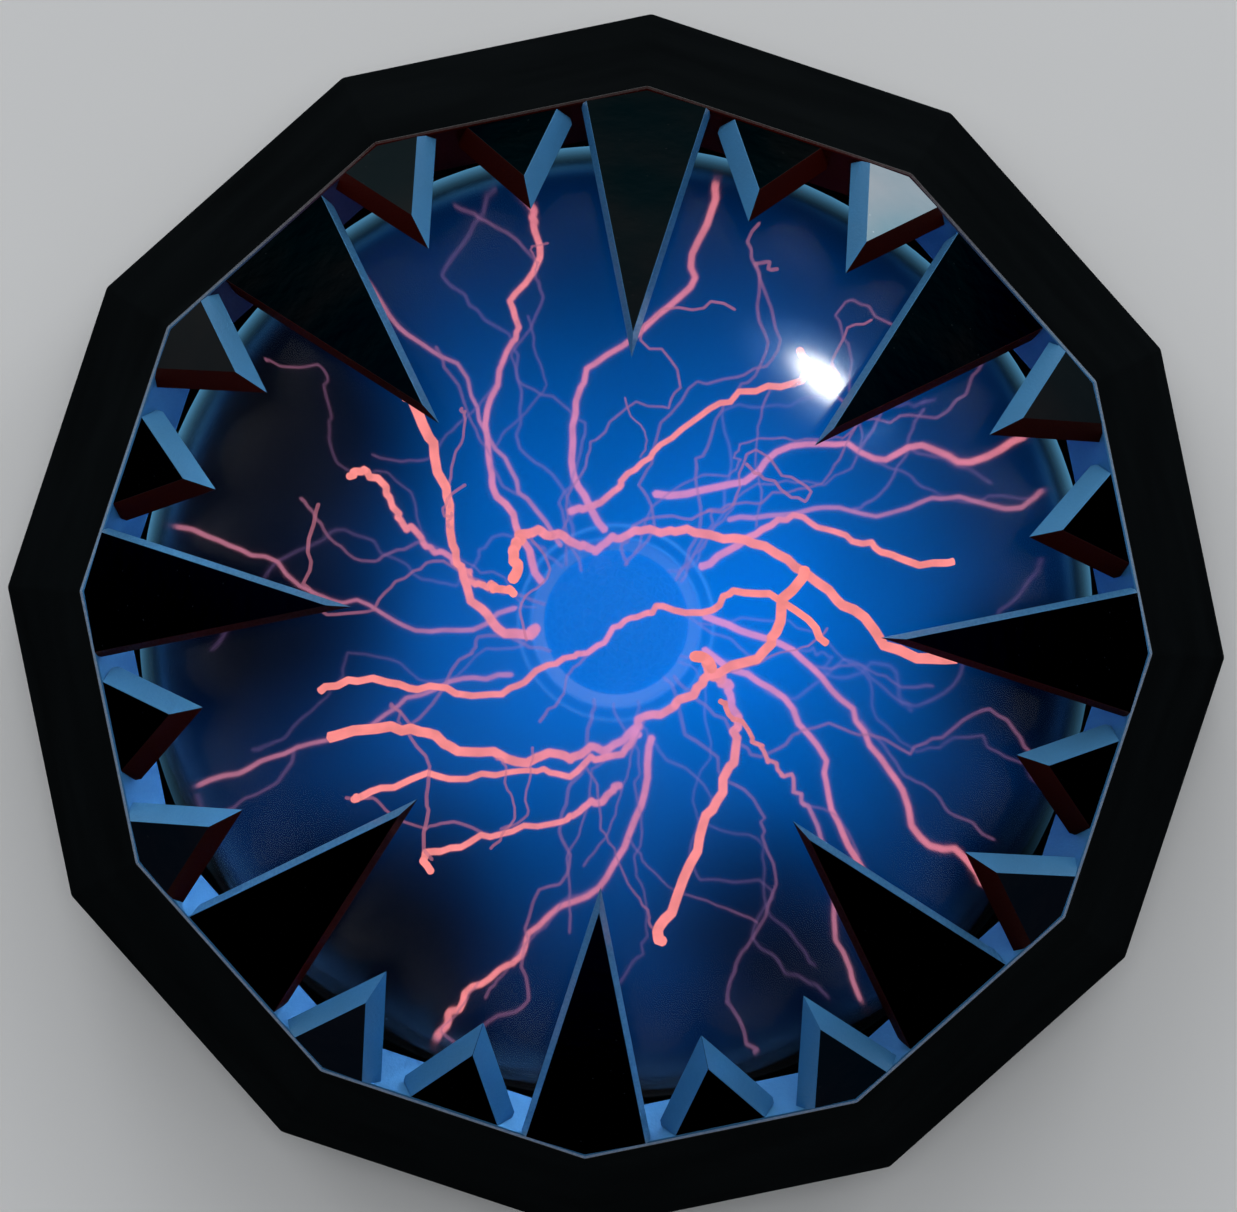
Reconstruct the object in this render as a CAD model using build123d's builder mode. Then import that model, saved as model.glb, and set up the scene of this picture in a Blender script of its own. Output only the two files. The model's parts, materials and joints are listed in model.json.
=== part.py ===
from build123d import *
import os
from math import acos, atan2, cos, degrees, hypot, radians, sin, sqrt, tan

# Plasma ball: a sealed glass globe in a flared twelve-sided housing, under a crown of claws.
# Frame: origin at the centre of the footprint, on the surface that the feet stand on.
# +Z runs up the globe's axis and +Y points to the rear, where the controls are. Millimetres.

os.makedirs("parts", exist_ok=True)

# ---- Globe ----
globe_diameter = 152.4
glass_wall = 2.2
globe_lift = 30.8  # lowest point of the sphere above the ground
neck_radius = 17.0
neck_bottom_z = 18.0
neck_fillet = 4.0
neck_join_band = 1.0  # above and below the join, to tell its edge from the others

# ---- Housing ----
sides = 12
base_flare = 21.0  # how far the foot stands out past the trim ring, at the middle of a side
cowl_wall = 2.7
plinth_wall = 2.6
plinth_height = 25.4
rim_above_centre = 27.0  # rim plane above the middle of the globe
seam_chamfer = 0.6

# ---- Crown ring and trim ring ----
crown_clearance = 1.0  # glass to the ring's inner edge
crown_skirt_depth = 14.0
ledge_width = 5.0  # ring's inner edge to the rim, along a side's normal
ledge_depth = 10.0
crown_flange_height = 3.0
crown_step = 0.65  # how far the skirt is set back under the flange
crown_toe = 1.0  # the inner wall leans back this much below the ledge
trim_height = 3.0
trim_reveal = 0.5  # width of trim that shows outside the claws
fit_clearance = 0.15
cowl_flange_thickness = 2.5
globe_pass_clearance = 0.8  # globe through the cowl's flange

# ---- Claws ----
claw_count = 24
long_claw_every = 3
claw_thickness = 3.2
claw_gap = 1.5  # glass to the underside of a long claw
long_claw_length = 64.1
short_claw_length = 17.6
long_valley_gap = 0.6  # claw base to the middle of the valley beside it
short_valley_gap = 3.4
long_claw_bevel = 5.0
short_claw_bevel = 30.0
tongue_thickness = 1.6
tongue_width = 5.0
tongue_depth = 12.0
tongue_clearance = 0.1
tongue_set_in = 2.85  # tongue's middle, in from the rim
tongue_overlap = 0.8  # tongue's top above the rim plane, inside the blade

# ---- Base plate, feet and screws ----
foot_height = 2.6
foot_radius = 6.0
foot_ring_radius = 82.0
foot_count = 6
foot_peg_radius = 2.5
plate_thickness = 2.6
plate_clearance = 0.2
plate_ledge_width = 3.0
plate_ledge_height = 2.8
vent_width = 3.0
vent_length = 14.0
vent_ring_radius = 66.0
vent_count = 11
vent_start_angle = 195
vent_arc = 150
screw_clearance = 0.05
recess_length = 1.3  # of a cross recess, in head radii
recess_width = 0.3  # of a cross recess, in head radii
housing_screw_count = 6
housing_screw_radius = 1.5
housing_screw_head_radius = 2.75
housing_screw_head_height = 1.6
housing_screw_length = 18.0
boss_radius = 4.5
boss_clearance = 0.5
boss_set_in = 7.2795  # the cowl's outer face to the outside of a boss, at the cowl's foot
boss_top_set_in = 0.7  # the same, where the boss ends in the cowl's wall
crown_screw_count = 6
crown_screw_ring_in = 1.6  # screw's axis in from the rim's apothem
crown_screw_radius = 1.0
crown_screw_head_radius = 1.7
crown_screw_head_height = 1.4
crown_screw_length = 7.5
inner_screw_radius = 1.2
inner_screw_head_radius = 2.3
inner_screw_head_height = 1.5
inner_screw_length = 4.9

# ---- Globe support ----
cradle_radius = 44.0
cradle_wall = 4.0
cradle_flange_width = 8.0
cradle_flange_height = 2.5
seat_width = 5.0
seat_height = 3.5  # rubber under the lowest line of contact
seat_blank_height = 10.5  # before the globe's shape is taken from it
seat_clearance = 0.1
lead_slot_width = 9.0
lead_slot_top_z = 29.0
lead_slot_length = 16.0
grommet_wall = 2.4
grommet_height = 8.0
grommet_lip = 2.0
grommet_clearance = 0.1
cup_wall = 3.0
cup_floor = 2.8
cup_flange_radius = 33.0
cup_flange_height = 2.5
cup_screw_ring_radius = 28.5
support_screw_count = 3  # in each of the cup's and the tower's flanges
support_screw_start_angle = 30

# ---- Electrode ----
stem_radius = 8.0
stem_wall = 1.4
bulb_radius = 13.0
flare_height = 8.0
wool_clearance = 0.1
wool_plug_length = 20.0
lead_rod_radius = 1.2
terminal_radius = 4.0
terminal_height = 8.0

# ---- Control bay and controls ----
bay_width = 44.0
bay_depth = 7.5
bay_wall = 2.4
bay_above_plate = 0.9
bay_below_cowl = 1.1
jack_x = -14.0
switch_x = 0.0
knob_x = 14.0
jack_nose_radius = 4.0
jack_bore_radius = 3.0
jack_bore_depth = 9.0
jack_pin_radius = 1.0
jack_pin_length = 8.0
jack_body_width = 9.0
jack_body_height = 11.0
jack_body_depth = 10.0
jack_nose_stand_out = 0.8
panel_hole_clearance = 0.15
switch_travel = 2.0  # each way from the middle position
switch_body_width = 14.0
switch_body_height = 6.0
switch_body_depth = 5.0
switch_can_wall = 0.8
lever_width = 3.0
lever_height = 3.0
lever_length = 10.5
lever_shoe_width = 6.0
lever_shoe_depth = 2.0
lever_clearance = 0.3
pot_radius = 6.5
pot_depth = 8.5
bushing_radius = 3.5
bushing_stand_out = 2.4
nut_across_flats = 10.0
nut_sides = 6
nut_height = 2.0
shaft_radius = 2.4
shaft_clearance = 0.05
knob_clearance = 2.0  # knob to the bay above and below it
knob_height = 4.4
knob_front_gap = 0.4  # knob's face behind the side's outer face
knob_flute_count = 12
knob_flute_radius = 0.6
pointer_width = 1.0
pointer_depth = 0.5
pointer_end_gap = 0.5

# ---- Driver board ----
board_cradle_gap = 3.0
board_rear_y = 78.0
board_half_width = 31.0
board_thickness = 1.6
standoff_height = 5.0
standoff_radius = 3.0
board_screw_inset = 3.5
transformer_nudge = 0.5  # toward the globe from the middle of the board
core_width = 30.0
core_height = 26.0
core_depth = 8.0
core_limb = 4.0  # outer limbs and yokes; the middle limb is twice this
coil_radius = 10.8
coil_end_gap = 0.2
sink_x = 20.6
sink_plate = 3.0
sink_length = 15.0
sink_height = 21.0
sink_fin_reach = 6.5
sink_fin_width = 1.5
sink_fin_count = 4
transistor_thickness = 4.0
transistor_width = 10.0
transistor_height = 15.0
transistor_lead_height = 4.0
transistor_lead_thickness = 0.6
transistor_lead_width = 0.9
transistor_lead_pitch = 2.5
transistor_lead_count = 3
capacitor_radius = 4.0
capacitor_height = 14.0
capacitor_pitch = 10.0
capacitor_nudge = 1.0  # toward the transformer from half way between it and the board's edge
small_capacitor_radius = 2.5
small_capacitor_height = 8.0
chip_length = 9.4
chip_width = 6.2
chip_height = 3.2
chip_stand_off = 0.4
chip_offset = 0.6  # chip's end to the middle of the board
chip_pin_size = 0.6
chip_pin_columns = 4
chip_pin_rows = 2
microphone_radius = 3.0
microphone_height = 3.8
microphone_hole_radius = 1.0
microphone_hole_depth = 0.5
hv_lead_radius = 1.5
hv_lead_start_z = 22.0
hv_lead_end_z = 12.0
panel_lead_radius = 0.5
panel_lead_rise = 2.0  # above the middle of the controls
panel_lead_set_in = 2.5  # where they land, in from the board's rear edge
panel_lead_pitch = 3.0
panel_lead_bend = 2.8
hv_lead_drop = 11.0  # length of its slanting run
hv_lead_bend = 8.0

# ---- Places that follow from the sizes above ----
side_angle = 360 / sides
half_side = radians(side_angle / 2)
corner_angle = side_angle / 2  # a flat side faces +Y
globe_radius = globe_diameter / 2
globe_centre_z = globe_radius + globe_lift
rim_z = globe_centre_z + rim_above_centre
ledge_z = rim_z - ledge_depth
glass_radius_at_ledge = sqrt(globe_radius**2 - (ledge_z - globe_centre_z) ** 2)
ring_inner_apothem = glass_radius_at_ledge + crown_clearance
rim_apothem = ring_inner_apothem + ledge_width
rim_corner_radius = rim_apothem / cos(half_side)
crown_bottom_z = rim_z - crown_skirt_depth
crown_flange_z = rim_z - crown_flange_height
skirt_apothem = rim_apothem - crown_step

plate_bottom_z = foot_height
plate_top_z = plate_bottom_z + plate_thickness
plinth_top_z = plate_bottom_z + plinth_height
trim_top_z = crown_flange_z
trim_apothem = rim_apothem + trim_reveal
base_apothem = trim_apothem + base_flare
facet_slope = base_flare / (trim_top_z - plinth_top_z)
facet_taper = degrees(atan2(base_flare, trim_top_z - plinth_top_z))
cowl_top_z = trim_top_z - trim_height
cowl_height = cowl_top_z - plinth_top_z
cowl_top_apothem = base_apothem - facet_slope * cowl_height
trim_inner_apothem = skirt_apothem + fit_clearance
flange_bore_radius = globe_radius + globe_pass_clearance
flange_bottom_z = crown_bottom_z - cowl_flange_thickness
housing_screw_ring_radius = base_apothem - boss_set_in - boss_radius
boss_top_z = plinth_top_z + (boss_set_in - boss_top_set_in) / facet_slope
boss_bottom_z = plate_top_z + plate_clearance
plate_apothem = base_apothem - plinth_wall - plate_clearance
crown_screw_ring_radius = rim_apothem - crown_screw_ring_in

slope_reach = hypot(rim_apothem, rim_above_centre)
glass_to_face = globe_radius + claw_gap + claw_thickness
claw_slope = atan2(rim_apothem, rim_above_centre) - acos(glass_to_face / slope_reach)
valley_half_width = rim_apothem * tan(radians(180 / claw_count))

cradle_outer_radius = cradle_radius + cradle_wall / 2
cradle_top_z = globe_centre_z - sqrt(globe_radius**2 - cradle_radius**2) - seat_height
neck_bore_radius = neck_radius - glass_wall
neck_join_z = globe_centre_z - sqrt(globe_radius**2 - neck_radius**2)
grommet_outer_radius = neck_radius + grommet_clearance + grommet_wall
grommet_bottom_z = neck_bottom_z - grommet_lip
cup_bore_radius = grommet_outer_radius + grommet_clearance
cup_floor_top_z = plate_top_z + cup_floor
bay_back_y = base_apothem - bay_depth
bay_inner_y = bay_back_y - bay_wall
bay_bottom_z = plate_top_z + bay_above_plate + bay_wall
bay_top_z = plinth_top_z - bay_below_cowl - bay_wall
bay_height = bay_top_z - bay_bottom_z
bay_centre_z = (bay_bottom_z + bay_top_z) / 2
knob_radius = bay_height / 2 - knob_clearance
board_front_y = cradle_outer_radius + board_cradle_gap
board_middle_y = (board_front_y + board_rear_y) / 2
transformer_y = board_middle_y - transformer_nudge
panel_lead_height_z = bay_centre_z + panel_lead_rise
panel_lead_landing_y = board_rear_y - panel_lead_set_in
board_bottom_z = plate_top_z + standoff_height
board_top_z = board_bottom_z + board_thickness
board_screw_x = board_half_width - board_screw_inset
board_screw_ys = (board_front_y + board_screw_inset, board_rear_y - board_screw_inset)
wool_radius = bulb_radius - stem_wall - wool_clearance
wool_bottom_z = globe_centre_z - wool_plug_length
knob_face_y = base_apothem - knob_front_gap
knob_back_y = knob_face_y - knob_height


def save(name, builder):
    """Labels a finished piece and writes it."""
    builder.part.label = name
    export_step(builder.part, f"parts/{name}.step")


def dodecagon(apothem, rotation=corner_angle):
    """The housing's outline, measured from the axis to the middle of a side."""
    RegularPolygon(apothem, sides, major_radius=False, rotation=rotation)


def prism(z_low, z_high, draw, mode=Mode.ADD, taper=0.0):
    """Extrudes what draw() sketches from one height to another."""
    with BuildSketch(Plane.XY.offset(z_low)) as profile:
        draw()
    extrude(profile.sketch, amount=z_high - z_low, taper=taper, mode=mode)


def rear_plane(y):
    """A plane that faces +Y, with its x to the right as seen from the front and its y up."""
    return Plane(origin=(0, y, bay_centre_z), x_dir=(1, 0, 0), z_dir=(0, -1, 0))


def rearward(y_low, y_high, draw, mode=Mode.ADD):
    """Extrudes what draw() sketches between two depths of the control bay."""
    with BuildSketch(rear_plane(y_high)) as profile:
        draw()
    extrude(profile.sketch, amount=y_high - y_low, mode=mode)


def at(x, y, draw):
    """Draws at one place in a sketch."""
    with Locations((x, y)):
        draw()


def screws(ring, radius, head_radius, head_height, length, under_head_z, heads_down=True):
    """A set of cross-head screws at the places in ring."""
    way = -1 if heads_down else 1
    head_end_z = under_head_z + way * head_height
    tip_z = under_head_z - way * length
    recess_z = head_end_z - way * head_height / 2

    def heads():
        with Locations(*ring):
            Circle(head_radius)

    def shanks():
        with Locations(*ring):
            Circle(radius)

    def recesses():
        with Locations(*ring):
            Rectangle(head_radius * recess_length, head_radius * recess_width)
            Rectangle(head_radius * recess_width, head_radius * recess_length)

    with BuildPart() as made:
        prism(min(under_head_z, head_end_z), max(under_head_z, head_end_z), heads)
        prism(min(under_head_z, tip_z), max(under_head_z, tip_z), shanks)
        prism(min(head_end_z, recess_z), max(head_end_z, recess_z), recesses, Mode.SUBTRACT)
    return made


def ring_places(radius, count, start_angle):
    """Places evenly spaced round the axis."""
    turns = [radians(start_angle + index * 360 / count) for index in range(count)]
    return [(radius * cos(turn), radius * sin(turn)) for turn in turns]


housing_screw_places = ring_places(housing_screw_ring_radius, housing_screw_count, 0)
crown_screw_places = ring_places(crown_screw_ring_radius, crown_screw_count, 180 / claw_count)
foot_places = ring_places(foot_ring_radius, foot_count, 180 / foot_count)
cup_screw_places = ring_places(
    cup_screw_ring_radius, support_screw_count, support_screw_start_angle
)
cradle_screw_places = ring_places(
    cradle_outer_radius + cradle_flange_width / 2, support_screw_count, support_screw_start_angle
)
board_screw_places = [(side * board_screw_x, y) for side in (-1, 1) for y in board_screw_ys]


# ---- Housing ----
with BuildPart() as plinth_shell:
    prism(plate_bottom_z, plinth_top_z, lambda: dodecagon(base_apothem))
    chamfer(faces().sort_by(Axis.Z)[-1].edges(), seam_chamfer)
    chamfer(faces().sort_by(Axis.Z)[0].edges(), seam_chamfer)
    prism(
        plate_bottom_z,
        plate_top_z,
        lambda: dodecagon(base_apothem - plinth_wall),
        Mode.SUBTRACT,
    )
    prism(
        plate_top_z,
        plate_top_z + plate_ledge_height,
        lambda: dodecagon(base_apothem - plinth_wall - plate_ledge_width),
        Mode.SUBTRACT,
    )
    prism(
        plate_top_z + plate_ledge_height,
        plinth_top_z - plinth_wall,
        lambda: dodecagon(base_apothem - plinth_wall),
        Mode.SUBTRACT,
    )
    prism(
        plinth_top_z - plinth_wall,
        plinth_top_z,
        lambda: dodecagon(housing_screw_ring_radius + boss_radius + boss_clearance),
        Mode.SUBTRACT,
    )
    # Control bay: a box let into the rear side
    rearward(
        bay_inner_y,
        base_apothem - plinth_wall / 2,
        lambda: Rectangle(bay_width + 2 * bay_wall, bay_height + 2 * bay_wall),
    )
    rearward(
        bay_back_y,
        base_apothem,
        lambda: Rectangle(bay_width, bay_height),
        Mode.SUBTRACT,
    )
    # Holes in the bay's back wall for the jack, the lever and the potentiometer's bushing
    rearward(
        bay_inner_y,
        bay_back_y,
        lambda: at(jack_x, 0, lambda: Circle(jack_nose_radius + panel_hole_clearance)),
        Mode.SUBTRACT,
    )
    rearward(
        bay_inner_y,
        bay_back_y,
        lambda: at(
            switch_x,
            0,
            lambda: Rectangle(
                lever_width + 2 * switch_travel + 2 * lever_clearance,
                lever_height + 2 * lever_clearance,
            ),
        ),
        Mode.SUBTRACT,
    )
    rearward(
        bay_inner_y,
        bay_back_y,
        lambda: at(knob_x, 0, lambda: Circle(bushing_radius + panel_hole_clearance)),
        Mode.SUBTRACT,
    )
save("plinth_shell", plinth_shell)

with BuildPart() as facet_cowl:
    prism(plinth_top_z, cowl_top_z, lambda: dodecagon(base_apothem), taper=facet_taper)
    prism(
        plinth_top_z,
        flange_bottom_z,
        lambda: dodecagon(base_apothem - cowl_wall),
        Mode.SUBTRACT,
        facet_taper,
    )
    prism(flange_bottom_z, cowl_top_z, lambda: Circle(flange_bore_radius), Mode.SUBTRACT)
    prism(crown_bottom_z, cowl_top_z, lambda: dodecagon(trim_inner_apothem), Mode.SUBTRACT)

    def boss_circles():
        with Locations(*housing_screw_places):
            Circle(boss_radius)

    def boss_holes():
        with Locations(*housing_screw_places):
            Circle(housing_screw_radius + screw_clearance)

    def crown_screw_holes():
        with Locations(*crown_screw_places):
            Circle(crown_screw_radius + screw_clearance)

    prism(boss_bottom_z, boss_top_z, boss_circles)
    prism(boss_bottom_z, boss_bottom_z + housing_screw_length, boss_holes, Mode.SUBTRACT)
    prism(flange_bottom_z, crown_bottom_z, crown_screw_holes, Mode.SUBTRACT)
save("facet_cowl", facet_cowl)

with BuildPart() as rim_trim_ring:
    prism(cowl_top_z, trim_top_z, lambda: dodecagon(cowl_top_apothem), taper=facet_taper)
    prism(cowl_top_z, trim_top_z, lambda: dodecagon(trim_inner_apothem), Mode.SUBTRACT)
save("rim_trim_ring", rim_trim_ring)


# ---- Crown ring and claws ----
def crown_blank(rotation):
    """The crown ring before its slots are cut, with its corners turned to rotation."""
    ledge_taper = degrees(atan2(ledge_width, ledge_depth))
    toe_height = ledge_z - crown_bottom_z
    with BuildPart() as blank:
        prism(crown_bottom_z, rim_z, lambda: dodecagon(skirt_apothem, rotation))
        prism(crown_flange_z, rim_z, lambda: dodecagon(rim_apothem, rotation))
        prism(
            ledge_z,
            rim_z,
            lambda: dodecagon(ring_inner_apothem, rotation),
            Mode.SUBTRACT,
            -ledge_taper,
        )
        prism(
            crown_bottom_z,
            ledge_z,
            lambda: dodecagon(ring_inner_apothem + crown_toe, rotation),
            Mode.SUBTRACT,
            degrees(atan2(crown_toe, toe_height)),
        )
    return blank


def claw_blade(base_distance, rotation, length, half_width, bevel, tongue_distance):
    """A claw that leans in over the globe from the rim, pointing along +X before it is placed."""
    tip_radius = rim_apothem - length * cos(claw_slope)
    tip_rise = length * sin(claw_slope)
    slope = atan2(tip_rise, base_distance - tip_radius)
    blade_length = hypot(tip_rise, base_distance - tip_radius)
    face = Plane(
        origin=(base_distance, 0, rim_z),
        x_dir=(0, -1, 0),
        z_dir=(-sin(slope), 0, -cos(slope)),
    )
    with BuildPart() as blade:
        with BuildSketch(face):
            Polygon(
                (-half_width, -crown_skirt_depth),
                (half_width, -crown_skirt_depth),
                (half_width, 0),
                (0, blade_length),
                (-half_width, 0),
                align=None,
            )
        extrude(amount=claw_thickness, taper=-bevel)
        prism(
            crown_flange_z,
            rim_z + 2 * tip_rise,
            lambda: dodecagon(rim_apothem, rotation),
            Mode.INTERSECT,
        )
        prism(
            rim_z - tongue_depth,
            rim_z + tongue_overlap,
            lambda: at(tongue_distance, 0, lambda: Rectangle(tongue_thickness, tongue_width)),
        )
    return blade


tongue_side_radius = rim_apothem - tongue_set_in
tongue_corner_radius = tongue_side_radius / cos(half_side)
long_half_width = valley_half_width - long_valley_gap
short_half_width = valley_half_width - short_valley_gap

with BuildPart() as crown_ring:
    add(crown_blank(corner_angle).part)

    def side_slots():
        with PolarLocations(tongue_side_radius, sides, start_angle=0):
            Rectangle(tongue_thickness + 2 * tongue_clearance, tongue_width + 2 * tongue_clearance)

    def corner_slots():
        with PolarLocations(tongue_corner_radius, sides, start_angle=corner_angle):
            Rectangle(tongue_thickness + 2 * tongue_clearance, tongue_width + 2 * tongue_clearance)

    def ring_screw_holes():
        with Locations(*crown_screw_places):
            Circle(crown_screw_radius + screw_clearance)

    prism(rim_z - tongue_depth, rim_z, side_slots, Mode.SUBTRACT)
    prism(rim_z - tongue_depth, rim_z, corner_slots, Mode.SUBTRACT)
    prism(
        crown_bottom_z,
        flange_bottom_z + crown_screw_length + plate_clearance,
        ring_screw_holes,
        Mode.SUBTRACT,
    )
save("crown_ring", crown_ring)

side_blank = crown_blank(corner_angle)
corner_blank = crown_blank(0)
claw_kinds = {}
for size, length, half_width, bevel in (
    ("long", long_claw_length, long_half_width, long_claw_bevel),
    ("short", short_claw_length, short_half_width, short_claw_bevel),
):
    for place, distance, rotation, blank, tongue in (
        ("side", rim_apothem, corner_angle, side_blank, tongue_side_radius),
        ("corner", rim_corner_radius, 0, corner_blank, tongue_corner_radius),
    ):
        tongue_cut = (
            tongue,
            tongue_thickness + 2 * tongue_clearance,
            tongue_width + 2 * tongue_clearance,
        )
        with BuildPart() as seat:
            add(blank.part)
            prism(
                rim_z - tongue_depth,
                rim_z,
                lambda: at(tongue_cut[0], 0, lambda: Rectangle(tongue_cut[1], tongue_cut[2])),
                Mode.SUBTRACT,
            )
        with BuildPart() as kind:
            add(claw_blade(distance, rotation, length, half_width, bevel, tongue).part)
            add(seat.part, mode=Mode.SUBTRACT)
        claw_kinds[size, place] = kind

long_number = 0
short_number = 0
for index in range(claw_count):
    angle = index * 360 / claw_count
    place = "side" if index % 2 == 0 else "corner"
    is_long = index % long_claw_every == 2
    size = "long" if is_long else "short"
    long_number += is_long
    short_number += not is_long
    with BuildPart() as claw:
        add(claw_kinds[size, place].part, rotation=(0, 0, angle))
    save(f"{size}_claw_{long_number if is_long else short_number}", claw)

crown_screws = screws(
    crown_screw_places,
    crown_screw_radius,
    crown_screw_head_radius,
    crown_screw_head_height,
    crown_screw_length,
    flange_bottom_z,
)
save("crown_screws", crown_screws)

# ---- Globe and electrode ----
with BuildPart() as glass_globe:
    with Locations((0, 0, globe_centre_z)):
        Sphere(globe_radius)
    prism(neck_bottom_z, neck_join_z, lambda: Circle(neck_radius))
    fillet(
        edges().filter_by_position(Axis.Z, neck_join_z - neck_join_band, neck_join_z + neck_join_band),
        neck_fillet,
    )
    with Locations((0, 0, globe_centre_z)):
        Sphere(globe_radius - glass_wall, mode=Mode.SUBTRACT)
    prism(neck_bottom_z, neck_join_z + glass_wall, lambda: Circle(neck_bore_radius), Mode.SUBTRACT)
save("glass_globe", glass_globe)

with BuildPart() as electrode_stem:
    with Locations((0, 0, globe_centre_z)):
        Sphere(bulb_radius)
    prism(neck_bottom_z, globe_centre_z, lambda: Circle(stem_radius))
    with BuildSketch(Plane.XZ):
        Polygon(
            (0, neck_bottom_z),
            (neck_bore_radius - seat_clearance, neck_bottom_z),
            (neck_bore_radius - seat_clearance, neck_bottom_z + stem_wall),
            (stem_radius, neck_bottom_z + flare_height),
            (0, neck_bottom_z + flare_height),
            align=None,
        )
    revolve(axis=Axis.Z)
    with Locations((0, 0, globe_centre_z)):
        Sphere(bulb_radius - stem_wall, mode=Mode.SUBTRACT)
    prism(
        neck_bottom_z,
        globe_centre_z,
        lambda: Circle(stem_radius - stem_wall),
        Mode.SUBTRACT,
    )
save("electrode_stem", electrode_stem)

with BuildPart() as electrode_wool:
    with Locations((0, 0, globe_centre_z)):
        Sphere(wool_radius)
    prism(
        wool_bottom_z,
        globe_centre_z,
        lambda: Circle(stem_radius - stem_wall - wool_clearance),
    )
save("electrode_wool", electrode_wool)

with BuildPart() as electrode_lead:
    prism(cup_floor_top_z, cup_floor_top_z + terminal_height, lambda: Circle(terminal_radius))
    prism(cup_floor_top_z, wool_bottom_z, lambda: Circle(lead_rod_radius))
save("electrode_lead", electrode_lead)

# ---- Globe support ----
with BuildPart() as neck_grommet:
    prism(
        grommet_bottom_z,
        neck_bottom_z + grommet_height,
        lambda: Circle(grommet_outer_radius),
    )
    prism(
        neck_bottom_z,
        neck_bottom_z + grommet_height,
        lambda: Circle(neck_radius + grommet_clearance),
        Mode.SUBTRACT,
    )
    prism(grommet_bottom_z, neck_bottom_z, lambda: Circle(neck_bore_radius), Mode.SUBTRACT)
save("neck_grommet", neck_grommet)

with BuildPart() as neck_cup:
    prism(plate_top_z, plate_top_z + cup_flange_height, lambda: Circle(cup_flange_radius))
    prism(
        plate_top_z,
        neck_bottom_z + grommet_height - grommet_lip,
        lambda: Circle(cup_bore_radius + cup_wall),
    )
    prism(
        cup_floor_top_z,
        grommet_bottom_z,
        lambda: Circle(neck_bore_radius),
        Mode.SUBTRACT,
    )
    prism(
        grommet_bottom_z,
        neck_bottom_z + grommet_height,
        lambda: Circle(cup_bore_radius),
        Mode.SUBTRACT,
    )

    def cup_screw_holes():
        with Locations(*cup_screw_places):
            Circle(inner_screw_radius + screw_clearance)

    prism(plate_top_z, plate_top_z + cup_flange_height, cup_screw_holes, Mode.SUBTRACT)
    with BuildSketch(Plane(origin=(0, 0, hv_lead_end_z), x_dir=(1, 0, 0), z_dir=(0, 1, 0))):
        Circle(hv_lead_radius + panel_hole_clearance)
    extrude(amount=cup_flange_radius, mode=Mode.SUBTRACT)
save("neck_cup", neck_cup)

with BuildPart() as globe_cradle:
    prism(plate_top_z, cradle_top_z, lambda: Circle(cradle_outer_radius))
    prism(
        plate_top_z,
        plate_top_z + cradle_flange_height,
        lambda: Circle(cradle_outer_radius + cradle_flange_width),
    )
    prism(
        plate_top_z,
        cradle_top_z,
        lambda: Circle(cradle_outer_radius - cradle_wall),
        Mode.SUBTRACT,
    )

    def cradle_screw_holes():
        with Locations(*cradle_screw_places):
            Circle(inner_screw_radius + screw_clearance)

    prism(plate_top_z, plate_top_z + cradle_flange_height, cradle_screw_holes, Mode.SUBTRACT)
    prism(
        plate_top_z + cradle_flange_height,
        lead_slot_top_z,
        lambda: at(
            0, cradle_outer_radius, lambda: Rectangle(lead_slot_width, lead_slot_length)
        ),
        Mode.SUBTRACT,
    )
save("globe_cradle", globe_cradle)

with BuildPart() as seat_ring:
    prism(
        cradle_top_z,
        cradle_top_z + seat_blank_height,
        lambda: Circle(cradle_radius + seat_width / 2),
    )
    prism(
        cradle_top_z,
        cradle_top_z + seat_blank_height,
        lambda: Circle(cradle_radius - seat_width / 2),
        Mode.SUBTRACT,
    )
    with Locations((0, 0, globe_centre_z)):
        Sphere(globe_radius + seat_clearance, mode=Mode.SUBTRACT)
save("seat_ring", seat_ring)

# ---- Base plate, feet and screws ----
with BuildPart() as base_plate:
    prism(plate_bottom_z, plate_top_z, lambda: dodecagon(plate_apothem))

    def standoffs():
        with Locations(*board_screw_places):
            Circle(standoff_radius)

    def standoff_holes():
        with Locations(*board_screw_places):
            Circle(inner_screw_radius + screw_clearance)

    def plate_holes():
        with Locations(*cup_screw_places, *cradle_screw_places):
            Circle(inner_screw_radius + screw_clearance)
        with Locations(*foot_places):
            Circle(foot_peg_radius + screw_clearance)
        with Locations(*housing_screw_places):
            Circle(housing_screw_radius + screw_clearance)

    def head_recesses():
        with Locations(*housing_screw_places):
            Circle(housing_screw_head_radius + fit_clearance)

    def vents():
        with PolarLocations(
            vent_ring_radius,
            vent_count,
            start_angle=vent_start_angle,
            angular_range=vent_arc,
            endpoint=True,
        ):
            SlotOverall(vent_length, vent_width)

    prism(plate_top_z, board_bottom_z, standoffs)
    prism(
        board_top_z - inner_screw_length - plate_clearance,
        board_bottom_z,
        standoff_holes,
        Mode.SUBTRACT,
    )
    prism(plate_bottom_z, plate_top_z, plate_holes, Mode.SUBTRACT)
    prism(
        plate_bottom_z,
        plate_bottom_z + housing_screw_head_height,
        head_recesses,
        Mode.SUBTRACT,
    )
    prism(plate_bottom_z, plate_top_z, vents, Mode.SUBTRACT)
save("base_plate", base_plate)

with BuildPart() as rubber_feet:

    def pads():
        with Locations(*foot_places):
            Circle(foot_radius)

    def pegs():
        with Locations(*foot_places):
            Circle(foot_peg_radius)

    prism(0, foot_height, pads)
    chamfer(edges().filter_by(GeomType.CIRCLE).group_by(Axis.Z)[0], seam_chamfer)
    prism(foot_height, plate_top_z, pegs)
save("rubber_feet", rubber_feet)

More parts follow.
